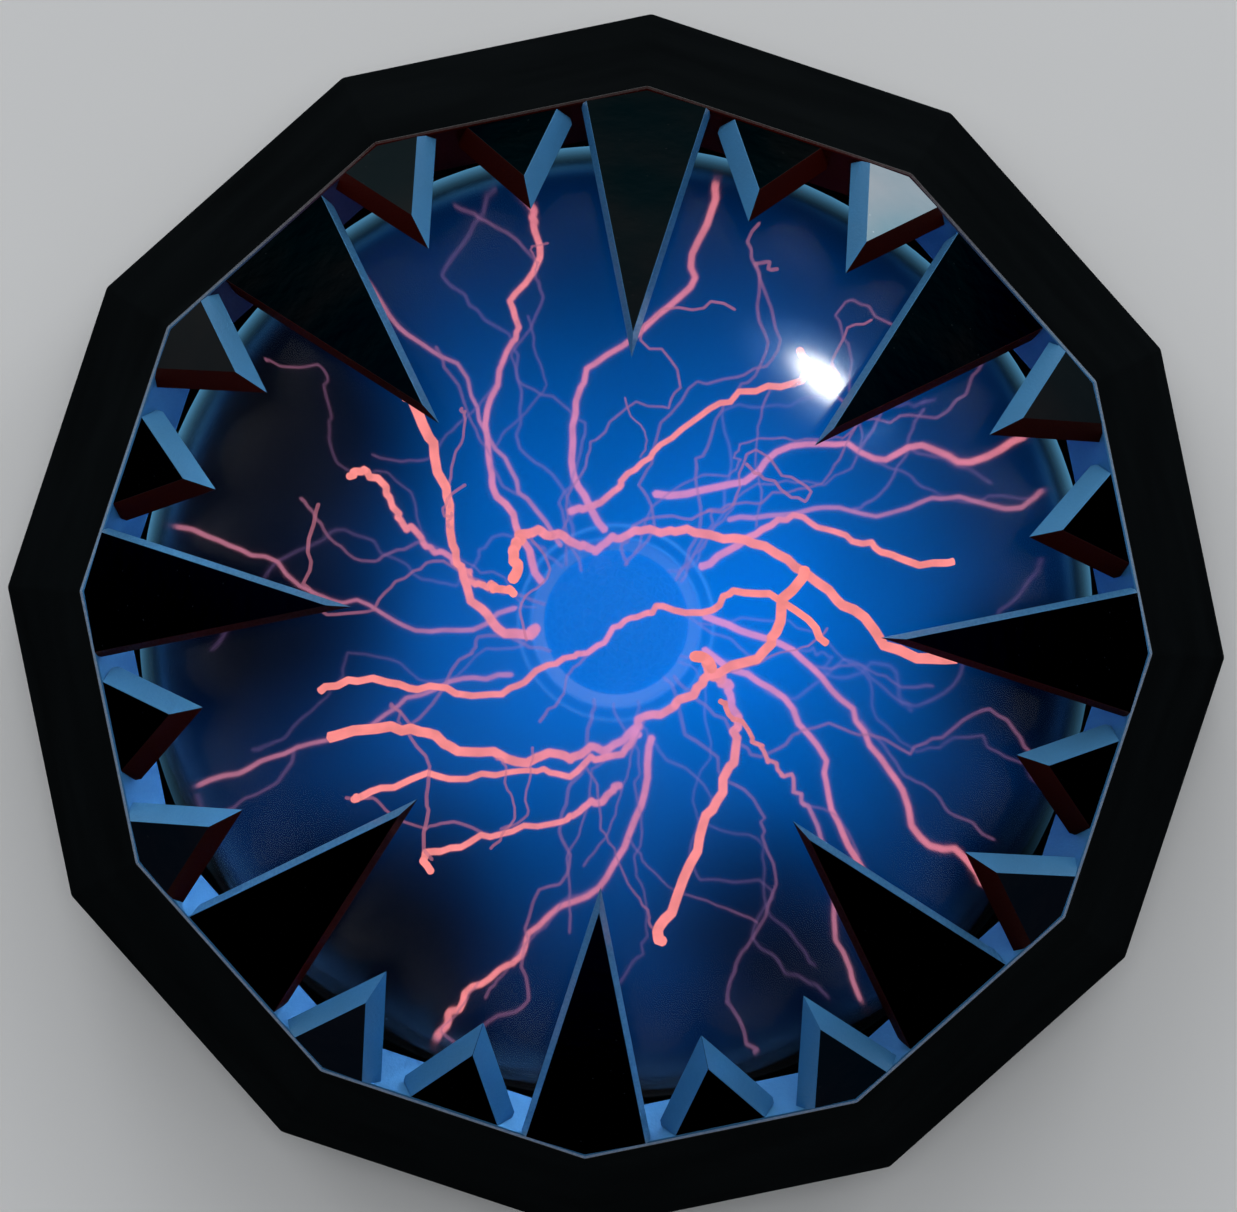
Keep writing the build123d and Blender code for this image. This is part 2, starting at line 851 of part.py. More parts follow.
housing_screws = screws(
    housing_screw_places,
    housing_screw_radius,
    housing_screw_head_radius,
    housing_screw_head_height,
    housing_screw_length,
    plate_bottom_z + housing_screw_head_height,
)
save("housing_screws", housing_screws)

flange_screws = screws(
    cup_screw_places + cradle_screw_places,
    inner_screw_radius,
    inner_screw_head_radius,
    inner_screw_head_height,
    inner_screw_length,
    plate_top_z + cradle_flange_height,
    heads_down=False,
)
board_screws = screws(
    board_screw_places,
    inner_screw_radius,
    inner_screw_head_radius,
    inner_screw_head_height,
    inner_screw_length,
    board_top_z,
    heads_down=False,
)
with BuildPart() as inner_screws:
    add(flange_screws.part)
    add(board_screws.part)
save("inner_screws", inner_screws)

# ---- Controls ----
with BuildPart() as dc_jack:
    rearward(
        bay_inner_y - jack_body_depth,
        bay_inner_y,
        lambda: at(jack_x, 0, lambda: Rectangle(jack_body_width, jack_body_height)),
    )
    rearward(
        bay_inner_y,
        bay_back_y + jack_nose_stand_out,
        lambda: at(jack_x, 0, lambda: Circle(jack_nose_radius)),
    )
    rearward(
        bay_back_y + jack_nose_stand_out - jack_bore_depth,
        bay_back_y + jack_nose_stand_out,
        lambda: at(jack_x, 0, lambda: Circle(jack_bore_radius)),
        Mode.SUBTRACT,
    )
save("dc_jack", dc_jack)

with BuildPart() as dc_jack_pin:
    jack_bore_end_y = bay_back_y + jack_nose_stand_out - jack_bore_depth
    rearward(
        jack_bore_end_y,
        jack_bore_end_y + jack_pin_length,
        lambda: at(jack_x, 0, lambda: Circle(jack_pin_radius)),
    )
    fillet(edges().filter_by(GeomType.CIRCLE).sort_by(Axis.Y)[-1], jack_pin_radius / 2)
save("dc_jack_pin", dc_jack_pin)

shoe_back_y = bay_inner_y - switch_body_depth + switch_can_wall + lever_clearance
with BuildPart() as mode_switch_body:
    rearward(
        bay_inner_y - switch_body_depth,
        bay_inner_y,
        lambda: at(switch_x, 0, lambda: Rectangle(switch_body_width, switch_body_height)),
    )
    rearward(
        bay_inner_y - switch_body_depth + switch_can_wall,
        bay_inner_y - switch_can_wall,
        lambda: at(
            switch_x,
            0,
            lambda: Rectangle(
                lever_shoe_width + 2 * switch_travel + 2 * lever_clearance,
                switch_body_height - 2 * switch_can_wall,
            ),
        ),
        Mode.SUBTRACT,
    )
    rearward(
        bay_inner_y - switch_can_wall,
        bay_inner_y,
        lambda: at(
            switch_x,
            0,
            lambda: Rectangle(
                lever_width + 2 * switch_travel + 2 * lever_clearance,
                lever_height + 2 * lever_clearance,
            ),
        ),
        Mode.SUBTRACT,
    )
save("mode_switch_body", mode_switch_body)

with BuildPart() as mode_switch_lever:
    rearward(
        shoe_back_y,
        shoe_back_y + lever_shoe_depth,
        lambda: at(
            switch_x,
            0,
            lambda: Rectangle(
                lever_shoe_width, switch_body_height - 2 * switch_can_wall - 2 * lever_clearance
            ),
        ),
    )
    rearward(
        shoe_back_y,
        shoe_back_y + lever_length,
        lambda: at(switch_x, 0, lambda: Rectangle(lever_width, lever_height)),
    )
    fillet(faces().sort_by(Axis.Y)[-1].edges(), seam_chamfer)
save("mode_switch_lever", mode_switch_lever)

with BuildPart() as potentiometer_body:
    rearward(
        bay_inner_y - pot_depth,
        bay_inner_y,
        lambda: at(knob_x, 0, lambda: Circle(pot_radius)),
    )
    rearward(
        bay_inner_y,
        bay_back_y + bushing_stand_out,
        lambda: at(knob_x, 0, lambda: Circle(bushing_radius)),
    )
    rearward(
        bay_inner_y - pot_depth / 2,
        bay_back_y + bushing_stand_out,
        lambda: at(knob_x, 0, lambda: Circle(shaft_radius + shaft_clearance)),
        Mode.SUBTRACT,
    )
save("potentiometer_body", potentiometer_body)

with BuildPart() as potentiometer_nut:
    rearward(
        bay_back_y,
        bay_back_y + nut_height,
        lambda: at(
            knob_x,
            0,
            lambda: RegularPolygon(nut_across_flats / 2, nut_sides, major_radius=False),
        ),
    )
    rearward(
        bay_back_y,
        bay_back_y + nut_height,
        lambda: at(knob_x, 0, lambda: Circle(bushing_radius + screw_clearance)),
        Mode.SUBTRACT,
    )
save("potentiometer_nut", potentiometer_nut)

shaft_end_y = knob_face_y - knob_height / 2
with BuildPart() as potentiometer_shaft:
    rearward(
        bay_inner_y - pot_depth / 2 + lever_clearance,
        shaft_end_y,
        lambda: at(knob_x, 0, lambda: Circle(shaft_radius)),
    )
save("potentiometer_shaft", potentiometer_shaft)

with BuildPart() as sensitivity_knob:
    rearward(knob_back_y, knob_face_y, lambda: at(knob_x, 0, lambda: Circle(knob_radius)))
    fillet(edges().filter_by(GeomType.CIRCLE).sort_by(Axis.Y)[-1], seam_chamfer)
    rearward(
        knob_back_y,
        shaft_end_y,
        lambda: at(knob_x, 0, lambda: Circle(shaft_radius)),
        Mode.SUBTRACT,
    )

    def flutes():
        with Locations((knob_x, 0)):
            with PolarLocations(knob_radius, knob_flute_count, start_angle=90 / knob_flute_count):
                Circle(knob_flute_radius)

    rearward(knob_back_y, knob_face_y, flutes, Mode.SUBTRACT)
    rearward(
        knob_face_y - pointer_depth,
        knob_face_y,
        lambda: at(
            knob_x,
            knob_radius / 2,
            lambda: Rectangle(pointer_width, knob_radius - 2 * pointer_end_gap),
        ),
        Mode.SUBTRACT,
    )
save("sensitivity_knob", sensitivity_knob)

# ---- Driver board and what stands on it ----
with BuildPart() as driver_board:
    prism(
        board_bottom_z,
        board_top_z,
        lambda: at(
            0,
            board_middle_y,
            lambda: Rectangle(2 * board_half_width, board_rear_y - board_front_y),
        ),
    )

    def board_holes():
        with Locations(*board_screw_places):
            Circle(inner_screw_radius + screw_clearance)

    prism(board_bottom_z, board_top_z, board_holes, Mode.SUBTRACT)
save("driver_board", driver_board)

core_plane_y = transformer_y + core_depth / 2
core_centre_z = board_top_z + core_height / 2
window_width = (core_width - 4 * core_limb) / 2
window_height = core_height - 2 * core_limb
with BuildPart() as flyback_core:
    with BuildSketch(Plane(origin=(0, core_plane_y, core_centre_z), x_dir=(1, 0, 0), z_dir=(0, -1, 0))):
        Rectangle(core_width, core_height)
        with Locations(
            (-core_limb - window_width / 2, 0), (core_limb + window_width / 2, 0)
        ):
            Rectangle(window_width, window_height, mode=Mode.SUBTRACT)
    extrude(amount=core_depth)
save("flyback_core", flyback_core)

with BuildPart() as flyback_coil:
    prism(
        core_centre_z - window_height / 2 + coil_end_gap,
        core_centre_z + window_height / 2 - coil_end_gap,
        lambda: at(0, transformer_y, lambda: Circle(coil_radius)),
    )
    prism(
        core_centre_z - window_height / 2,
        core_centre_z + window_height / 2,
        lambda: at(
            0,
            transformer_y,
            lambda: Rectangle(
                2 * core_limb + 2 * tongue_clearance, core_depth + 2 * tongue_clearance
            ),
        ),
        Mode.SUBTRACT,
    )
save("flyback_coil", flyback_coil)

with BuildPart() as heat_sink:
    prism(
        board_top_z,
        board_top_z + sink_height,
        lambda: at(
            sink_x + sink_plate / 2, transformer_y, lambda: Rectangle(sink_plate, sink_length)
        ),
    )

    def fins():
        spacing = (sink_length - sink_fin_width) / (sink_fin_count - 1)
        with Locations((sink_x + sink_plate + sink_fin_reach / 2, transformer_y)):
            with GridLocations(0, spacing, 1, sink_fin_count):
                Rectangle(sink_fin_reach, sink_fin_width)

    prism(board_top_z, board_top_z + sink_height, fins)
save("heat_sink", heat_sink)

with BuildPart() as switching_transistor:
    transistor_x = sink_x - transistor_thickness / 2
    prism(
        board_top_z + transistor_lead_height,
        board_top_z + transistor_lead_height + transistor_height,
        lambda: at(
            transistor_x, transformer_y, lambda: Rectangle(transistor_thickness, transistor_width)
        ),
    )

    def transistor_leads():
        with Locations((transistor_x, transformer_y)):
            with GridLocations(0, transistor_lead_pitch, 1, transistor_lead_count):
                Rectangle(transistor_lead_thickness, transistor_lead_width)

    prism(board_top_z, board_top_z + transistor_lead_height, transistor_leads)
save("switching_transistor", switching_transistor)

with BuildPart() as capacitors:
    capacitor_x = -(board_half_width + core_width / 2) / 2 + capacitor_nudge

    def large_cans():
        with Locations((capacitor_x, transformer_y)):
            with GridLocations(0, capacitor_pitch, 1, 2):
                Circle(capacitor_radius)

    prism(board_top_z, board_top_z + capacitor_height, large_cans)
    prism(
        board_top_z,
        board_top_z + small_capacitor_height,
        lambda: at(
            -core_width / 2, transformer_y + core_depth, lambda: Circle(small_capacitor_radius)
        ),
    )
save("capacitors", capacitors)

chip_x = chip_length / 2 + chip_offset
chip_y = transformer_y + core_depth
with BuildPart() as timer_chip:
    prism(
        board_top_z + chip_stand_off,
        board_top_z + chip_stand_off + chip_height,
        lambda: at(chip_x, chip_y, lambda: Rectangle(chip_length, chip_width)),
    )

    def chip_pins():
        with Locations((chip_x, chip_y)):
            with GridLocations(
                chip_length / chip_pin_columns,
                chip_width - chip_pin_size,
                chip_pin_columns,
                chip_pin_rows,
            ):
                Rectangle(chip_pin_size, chip_pin_size)

    prism(board_top_z, board_top_z + chip_stand_off, chip_pins)
save("timer_chip", timer_chip)

microphone_x = -chip_length / 2 - microphone_radius
with BuildPart() as microphone:
    prism(
        board_top_z,
        board_top_z + microphone_height,
        lambda: at(microphone_x, chip_y, lambda: Circle(microphone_radius)),
    )
    prism(
        board_top_z + microphone_height - microphone_hole_depth,
        board_top_z + microphone_height,
        lambda: at(microphone_x, chip_y, lambda: Circle(microphone_hole_radius)),
        Mode.SUBTRACT,
    )
save("microphone", microphone)


def wire(points, radius, bends):
    """A round wire along straight runs joined by arcs."""
    with BuildLine() as route:
        FilletPolyline(*points, radius=bends)
    path = route.wires()[0]
    with BuildSketch(Plane(origin=path @ 0, z_dir=path % 0)) as section:
        Circle(radius)
    sweep(section.sketch, path=path)


hv_bend_y = transformer_y - coil_radius - hv_lead_bend
with BuildPart() as hv_lead:
    wire(
        [
            (0, transformer_y - coil_radius, hv_lead_start_z),
            (0, hv_bend_y, hv_lead_start_z),
            (0, hv_bend_y - hv_lead_drop, hv_lead_end_z),
            (0, terminal_radius, hv_lead_end_z),
        ],
        hv_lead_radius,
        hv_lead_bend,
    )
save("hv_lead", hv_lead)

with BuildPart() as panel_leads:
    for control_x, rear_y, pins in (
        (jack_x, bay_inner_y - jack_body_depth, (-0.5, 0.5)),
        (switch_x, bay_inner_y - switch_body_depth, (-1, 0, 1)),
        (knob_x, bay_inner_y - pot_depth, (-1, 0, 1)),
    ):
        for pin in pins:
            lead_x = control_x + pin * panel_lead_pitch
            wire(
                [
                    (lead_x, rear_y, panel_lead_height_z),
                    (lead_x, panel_lead_landing_y, panel_lead_height_z),
                    (lead_x, panel_lead_landing_y, board_top_z),
                ],
                panel_lead_radius,
                panel_lead_bend,
            )
save("panel_leads", panel_leads)
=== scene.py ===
"""Plasma ball: its finishes, its glowing gas and streamers, the floor, the light and the camera.

Lengths are in metres in the CAD model's frame: +Z runs up the globe's axis and +Y to the rear.
"""
import json
import random
from math import acos, cos, pi, radians, sin, sqrt

import bmesh
import bpy
from mathutils import Matrix, Vector, noise

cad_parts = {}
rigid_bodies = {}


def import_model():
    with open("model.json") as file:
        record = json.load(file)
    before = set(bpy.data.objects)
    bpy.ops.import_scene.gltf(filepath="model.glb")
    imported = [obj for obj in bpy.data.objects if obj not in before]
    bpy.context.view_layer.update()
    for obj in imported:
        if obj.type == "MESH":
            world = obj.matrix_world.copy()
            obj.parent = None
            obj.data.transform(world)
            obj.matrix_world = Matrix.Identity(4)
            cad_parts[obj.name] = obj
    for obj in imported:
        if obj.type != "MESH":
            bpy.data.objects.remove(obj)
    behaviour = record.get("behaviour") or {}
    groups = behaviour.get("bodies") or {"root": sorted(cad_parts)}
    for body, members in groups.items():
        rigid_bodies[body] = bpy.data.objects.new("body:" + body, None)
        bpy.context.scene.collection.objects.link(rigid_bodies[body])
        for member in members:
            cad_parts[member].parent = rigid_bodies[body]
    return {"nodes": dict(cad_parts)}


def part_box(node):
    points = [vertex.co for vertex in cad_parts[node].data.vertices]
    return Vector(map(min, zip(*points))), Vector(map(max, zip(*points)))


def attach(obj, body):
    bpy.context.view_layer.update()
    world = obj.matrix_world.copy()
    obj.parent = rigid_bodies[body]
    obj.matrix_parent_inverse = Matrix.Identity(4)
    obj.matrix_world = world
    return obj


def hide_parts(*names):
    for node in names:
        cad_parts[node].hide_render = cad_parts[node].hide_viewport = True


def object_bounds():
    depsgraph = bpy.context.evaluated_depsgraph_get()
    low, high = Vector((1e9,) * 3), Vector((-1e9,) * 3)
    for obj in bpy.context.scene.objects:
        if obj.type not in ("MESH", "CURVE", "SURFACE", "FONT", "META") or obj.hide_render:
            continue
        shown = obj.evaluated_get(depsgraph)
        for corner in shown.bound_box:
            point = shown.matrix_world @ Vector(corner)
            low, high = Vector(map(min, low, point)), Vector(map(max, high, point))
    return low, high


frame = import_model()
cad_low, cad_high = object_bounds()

MM = 0.001
SEED = 24
random.seed(SEED)
noise.seed_set(SEED)

# ---- Places taken from the frame ----
globe_low, globe_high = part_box("glass_globe")
GLOBE_RADIUS = (globe_high.x - globe_low.x) / 2
GLOBE_CENTRE = Vector((0, 0, globe_high.z - GLOBE_RADIUS))
GLASS_WALL = 2.2 * MM
GAS_RADIUS = GLOBE_RADIUS - GLASS_WALL - 0.5 * MM
STREAMER_REACH = GAS_RADIUS - 0.8 * MM
BULB_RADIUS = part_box("electrode_stem")[1].z - GLOBE_CENTRE.z
RIM_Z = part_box("crown_ring")[1].z
RIM_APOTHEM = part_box("rim_trim_ring")[1].x
LEDGE_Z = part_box("facet_cowl")[1].z

# ---- The view: straight down the axis ----
VIEW_TURN = radians(11.66)
VIEW_RIGHT = Vector((cos(VIEW_TURN), -sin(VIEW_TURN), 0))
VIEW_UP = Vector((sin(VIEW_TURN), cos(VIEW_TURN), 0))
CAMERA_Z = RIM_Z + 0.976
CAMERA_LENS = 182.2
CAMERA_SHIFT = (0.0020, 0.0132)


# ---- Node helpers ----
def node(tree, kind, values=None, **properties):
    """A shader node, with its properties set and its sockets set or linked."""
    made = tree.nodes.new("ShaderNode" + kind)
    for key, value in properties.items():
        setattr(made, key, value)
    for key, value in (values or {}).items():
        socket = made.inputs[key]
        if isinstance(value, bpy.types.NodeSocket):
            tree.links.new(value, socket)
        else:
            socket.default_value = value
    return made


def blank(name):
    """A material with nothing in it but its output."""
    made = bpy.data.materials.new(name)
    made.use_nodes = True
    made.node_tree.nodes.clear()
    return made, made.node_tree, made.node_tree.nodes.new("ShaderNodeOutputMaterial")


def place(tree, stretch=(1, 1, 1)):
    """The point on the piece, in the CAD frame, stretched for patterns that run one way."""
    coordinates = node(tree, "TexCoord")
    return node(tree, "Mapping", {"Vector": coordinates.outputs["Object"], "Scale": stretch}).outputs[0]


def math_of(tree, operation, first, second=0.0, third=0.0):
    """One sum, product or comparison."""
    return node(tree, "Math", {0: first, 1: second, 2: third}, operation=operation).outputs[0]


def spread(tree, value, low, high, to_low, to_high, shape="LINEAR"):
    """A value carried from one range to another."""
    values = {"Value": value, 1: low, 2: high, 3: to_low, 4: to_high}
    return node(tree, "MapRange", values, interpolation_type=shape).outputs[0]


def grain(tree, where, scale, detail, to_low, to_high, rough=0.5):
    """Cloudy variation between two values."""
    values = {"Vector": where, "Scale": scale, "Detail": detail, "Roughness": rough}
    cloud = node(tree, "TexNoise", values).outputs["Fac"]
    return spread(tree, cloud, 0.3, 0.7, to_low, to_high)


def blend(tree, share, first, second):
    """A mix of two colours."""
    values = {0: share, 6: first, 7: second}
    return node(tree, "Mix", values, data_type="RGBA").outputs[2]


def bump(tree, height, depth, strength=1.0):
    """Relief, with its depth in metres."""
    return node(tree, "Bump", {"Height": height, "Distance": depth, "Strength": strength}).outputs[0]


def up_the_view(tree, vector):
    """How far a vector runs towards the top of the picture."""
    return node(tree, "VectorMath", {0: vector, 1: VIEW_UP}, operation="DOT_PRODUCT").outputs["Value"]


def apart(tree, first, second):
    """The distance between two points."""
    return node(tree, "VectorMath", {0: first, 1: second}, operation="DISTANCE").outputs["Value"]


def rgba(colour):
    """A colour with its alpha."""
    return (*colour, 1.0)


def finish_of(name, build):
    """A material whose Principled shader takes the values that build(tree) returns."""
    made, tree, output = blank(name)
    shader = node(tree, "BsdfPrincipled", build(tree))
    tree.links.new(shader.outputs[0], output.inputs["Surface"])
    return made


# ---- Finishes ----
def moulded(name, colour, worn, roughness, relief_scale, relief, level=0.5, coat=0.0):
    """Moulded plastic or rubber: a little cloudiness, handling marks and a fine skin."""

    def build(tree):
        where = place(tree)
        clouds = grain(tree, where, 40, 4, 0, 1)
        marks = grain(tree, place(tree, (1, 1, 0.15)), 900, 2, 0, 1)
        shine = math_of(tree, "MULTIPLY_ADD", clouds, roughness * 0.35, roughness * 0.8)
        shine = math_of(tree, "MULTIPLY_ADD", marks, roughness * 0.12, shine)
        skin = grain(tree, where, relief_scale, 3, 0, 1)
        return {
            "Base Color": blend(tree, clouds, rgba(colour), rgba(worn)),
            "Roughness": shine,
            "Specular IOR Level": level,
            "Coat Weight": coat,
            "Normal": bump(tree, skin, relief),
        }

    return finish_of(name, build)


def lacquer(tree, roughness, relief):
    """What the black lacquers share: clouds, dust specks, shine with handling marks, and orange peel."""
    where = place(tree)
    clouds = grain(tree, where, 35, 4, 0, 1)
    marks = grain(tree, place(tree, (1, 1, 0.12)), 1100, 2, 0, 1)
    dust = node(tree, "TexVoronoi", {"Vector": where, "Scale": 420.0}, feature="F1")
    specks = spread(tree, dust.outputs["Distance"], 0.03, 0.07, 1, 0)
    shine = math_of(tree, "MULTIPLY_ADD", clouds, roughness * 0.5, roughness * 0.7)
    shine = math_of(tree, "MULTIPLY_ADD", marks, roughness * 0.3, shine)
    return clouds, specks, shine, bump(tree, grain(tree, where, 280, 2, 0, 1), relief)


def shaded(colour, share):
    """A colour made lighter or darker."""
    return rgba([channel * share for channel in colour])


def black_gloss(name, mirror, edge, roughness, relief):
    """Polished black lacquer: a faint mirror, with painted shade that makes it darker and bluer towards
    the bottom of the picture.
    """

    def build(tree):
        clouds, specks, shine, skin = lacquer(tree, roughness, relief)
        cool, plain = (0.7 * mirror, mirror, 1.1 * mirror), (mirror, mirror, mirror)
        tone = blend(tree, clouds, shaded(cool, 1.0), shaded(plain, 1.2))
        # Painted shade: darker and bluer towards the bottom of the picture.
        dark = spread(tree, up_the_view(tree, place(tree)), 0.06, 0.0, 0, 0.6)
        tone = blend(tree, dark, tone, rgba((0, 0, mirror * 0.2)))
        dusty = math_of(tree, "MULTIPLY", specks, 0.25)
        return {
            "Base Color": blend(tree, dusty, tone, rgba((0.1, 0.1, 0.1))),
            "Metallic": 1.0,
            "Roughness": shine,
            "Specular Tint": rgba((edge, edge, edge)),
            "Normal": skin,
        }

    return finish_of(name, build)


def deep_black(name, colour, roughness, relief):
    """Black lacquer that stays black where it is seen edge on."""

    def build(tree):
        clouds, specks, shine, skin = lacquer(tree, roughness, relief)
        tone = blend(tree, clouds, shaded(colour, 0.85), shaded(colour, 1.3))
        dusty = math_of(tree, "MULTIPLY", specks, 0.12)
        edge_on = node(tree, "LayerWeight", {"Blend": 0.5}).outputs["Facing"]
        return {
            "Base Color": blend(tree, dusty, tone, rgba((0.05, 0.05, 0.05))),
            "Roughness": shine,
            "Specular IOR Level": spread(tree, edge_on, 0.6, 0.84, 0.4, 0.0, "SMOOTHSTEP"),
            "Normal": skin,
        }

    return finish_of(name, build)


def metal(name, colour, dull, roughness, stretch=(1, 1, 1), scale=1500):
    """Bare metal with drawn or turned lines and cloudy tarnish."""

    def build(tree):
        lines = grain(tree, place(tree, stretch), scale, 2, 0, 1)
        tarnish = grain(tree, place(tree), 120, 5, 0, 1)
        return {
            "Base Color": blend(tree, tarnish, rgba(colour), rgba(dull)),
            "Metallic": 1.0,
            "Roughness": math_of(tree, "MULTIPLY_ADD", lines, roughness * 0.5, roughness * 0.7),
            "Normal": bump(tree, lines, 0.00003),
        }

    return finish_of(name, build)


def steel_blue(name, painted_shade_by):
    """Blue lacquer over brushed steel, with painted light and painted shade: a lighter blue on faces
    turned towards the top of the picture, and a painted shade of dark red-brown without sheen on the
    side away from the light.

    painted_shade_by says where the painted shade goes: by the way that it faces, by its place, on all of
    it or on nothing.
    """

    def build(tree):
        where = place(tree)
        facing = up_the_view(tree, node(tree, "NewGeometry").outputs["Normal"])
        along = up_the_view(tree, where)
        # The mask of painted shade: 0 where the dark red-brown shade is painted, 1 where the blue stays.
        lit = {
            "facing": spread(tree, facing, -0.72, -0.55, 0, 1, "SMOOTHSTEP"),
            "place": spread(tree, along, 0.075, 0.02, 0, 1, "SMOOTHSTEP"),
            "all": 0.0,
            "nothing": 1.0,
        }[painted_shade_by]
        # Painted light: the blue is lighter on faces turned towards the top of the picture.
        light = spread(tree, facing, -0.7, 0.9, 0, 1)
        red = grain(tree, where, 14, 1, 0.0, 1.0)
        clouds = grain(tree, where, 60, 4, 0, 1)
        brushed = grain(tree, place(tree, (1, 1, 0.08)), 2200, 2, 0, 1)
        blue = blend(tree, light, rgba((0.008, 0.10, 0.28)), rgba((0.06, 0.22, 0.42)))
        blue = blend(tree, math_of(tree, "MULTIPLY", clouds, 0.35), blue, rgba((0.05, 0.14, 0.25)))
        shade = blend(tree, red, rgba((0.002, 0.001, 0.001)), rgba((0.03, 0.002, 0.001)))
        return {
            "Base Color": blend(tree, lit, shade, blue),
            "Metallic": 0.15,
            "Roughness": math_of(tree, "MULTIPLY_ADD", brushed, 0.16, 0.3),
            "Specular IOR Level": math_of(tree, "MULTIPLY", lit, 0.12),
            "Normal": bump(tree, brushed, 0.00002),
        }

    return finish_of(name, build)


def glass(name, tint, index, roughness, rim=0.0):
    """Clear glass that lets the lamps through to what is inside.

    rim is the strength of a painted reflection: a pale blue glow on its outer surface where it is seen
    edge on, in the upper part of the view.
    """
    made, tree, output = blank(name)
    where = place(tree)
    smears = grain(tree, where, 35, 4, 0, 1)
    waves = grain(tree, where, 55, 1, 0, 1)
    clear = node(
        tree,
        "BsdfPrincipled",
        {
            "Base Color": rgba(tint),
            "Transmission Weight": 1.0,
            "IOR": index,
            "Roughness": spread(tree, smears, 0.45, 1.0, roughness, roughness + 0.03),
            "Normal": bump(tree, waves, 0.00001, 0.4),
        },
    )
    if rim:
        # A painted reflection: pale blue light on the outer surface, where it is seen edge on, in the
        # upper part of the view.
        edge = node(tree, "LayerWeight", {"Blend": 0.5}).outputs["Facing"]
        edge = spread(tree, edge, 0.72, 0.99, 0, rim, "SMOOTHSTEP")
        upper = spread(tree, up_the_view(tree, where), -0.04, 0.02, 0.0, 1.0)
        edge = math_of(tree, "MULTIPLY", edge, upper)
        depth = apart(tree, where, GLOBE_CENTRE)
        outside = spread(tree, depth, GLOBE_RADIUS - 1.2 * MM, GLOBE_RADIUS - 1.0 * MM, 0, 1)
        edge = math_of(tree, "MULTIPLY", edge, outside)
        pale = node(tree, "Emission", {"Color": rgba((0.12, 0.40, 0.68)), "Strength": 1.0})
        clear = node(tree, "MixShader", {0: edge, 1: clear.outputs[0], 2: pale.outputs[0]})
    through = node(tree, "BsdfTransparent", {"Color": rgba(tint)})
    shadow = node(tree, "LightPath").outputs["Is Shadow Ray"]
    mixed = node(tree, "MixShader", {0: shadow, 1: clear.outputs[0], 2: through.outputs[0]})
    tree.links.new(mixed.outputs[0], output.inputs["Surface"])
    return made


def steel_wool():
    """Tangled fibres with a painted glow: they give off the blue light of the gas round them."""

    def build(tree):
        where = place(tree)
        tangle = node(tree, "TexVoronoi", {"Vector": where, "Scale": 700.0}, feature="DISTANCE_TO_EDGE")
        fibre = spread(tree, tangle.outputs["Distance"], 0.0, 0.18, 1, 0)
        return {
            "Base Color": blend(tree, fibre, rgba((0.002, 0.008, 0.03)), rgba((0.004, 0.016, 0.05))),
            "Metallic": 0.3,
            "Roughness": 0.6,
            # Painted glow: the fibres give off the gas's blue light.
            "Emission Color": blend(tree, fibre, rgba((0, 0.16, 0.66)), rgba((0, 0.17, 0.68))),
            "Emission Strength": 0.6,
            "Normal": bump(tree, fibre, 0.0003),
        }

    return finish_of("wool", build)


def circuit_board():
    """Solder mask over copper tracks, with tinned pads."""

    def build(tree):
        where = place(tree)
        tracks = node(
            tree,
            "TexBrick",
            {
                "Vector": where,
                "Scale": 160.0,
                "Mortar Size": 0.09,
                "Brick Width": 0.9,
                "Row Height": 0.35,
            },
            offset=0.35,
        )
        copper = tracks.outputs["Fac"]
        pads = node(tree, "TexVoronoi", {"Vector": where, "Scale": 170.0}, feature="F1")
        tinned = spread(tree, pads.outputs["Distance"], 0.16, 0.2, 1, 0)
        mask = blend(tree, copper, rgba((0.01, 0.09, 0.03)), rgba((0.03, 0.17, 0.05)))
        return {
            "Base Color": blend(tree, tinned, mask, rgba((0.6, 0.58, 0.52))),
            "Metallic": tinned,
            "Roughness": spread(tree, tinned, 0, 1, 0.3, 0.4),
            "Normal": bump(tree, math_of(tree, "MAXIMUM", copper, tinned), 0.00004),
        }

    return finish_of("board_green", build)


def wound(name, colour, gap_colour, pitch, axis):
    """Tape or wire laid in turns."""

    def build(tree):
        values = {"Vector": place(tree), "Scale": 0.314 / pitch, "Distortion": 0.4, "Detail": 1.0}
        turns = node(tree, "TexWave", values, bands_direction=axis).outputs["Fac"]
        return {
            "Base Color": blend(tree, turns, rgba(gap_colour), rgba(colour)),
            "Roughness": spread(tree, turns, 0, 1, 0.6, 0.35),
            "Normal": bump(tree, turns, 0.00025),
        }

    return finish_of(name, build)


def sleeved():
    """A capacitor's shrink sleeve, with its pale stripe and its bare scored top."""

    def build(tree):
        facing = node(tree, "SeparateXYZ", {0: node(tree, "NewGeometry").outputs["Normal"]})
        top = spread(tree, facing.outputs["Z"], 0.85, 0.95, 0, 1)
        stripe = spread(tree, facing.outputs["X"], 0.9, 0.93, 0, 1)
        sleeve = blend(tree, stripe, rgba((0.01, 0.03, 0.12)), rgba((0.5, 0.55, 0.6)))
        clouds = grain(tree, place(tree), 200, 3, 0, 1)
        return {
            "Base Color": blend(tree, top, sleeve, rgba((0.55, 0.56, 0.57))),
            "Metallic": top,
            "Roughness": spread(tree, clouds, 0, 1, 0.28, 0.42),
            "Normal": bump(tree, clouds, 0.00005),
        }

    return finish_of("can_blue", build)


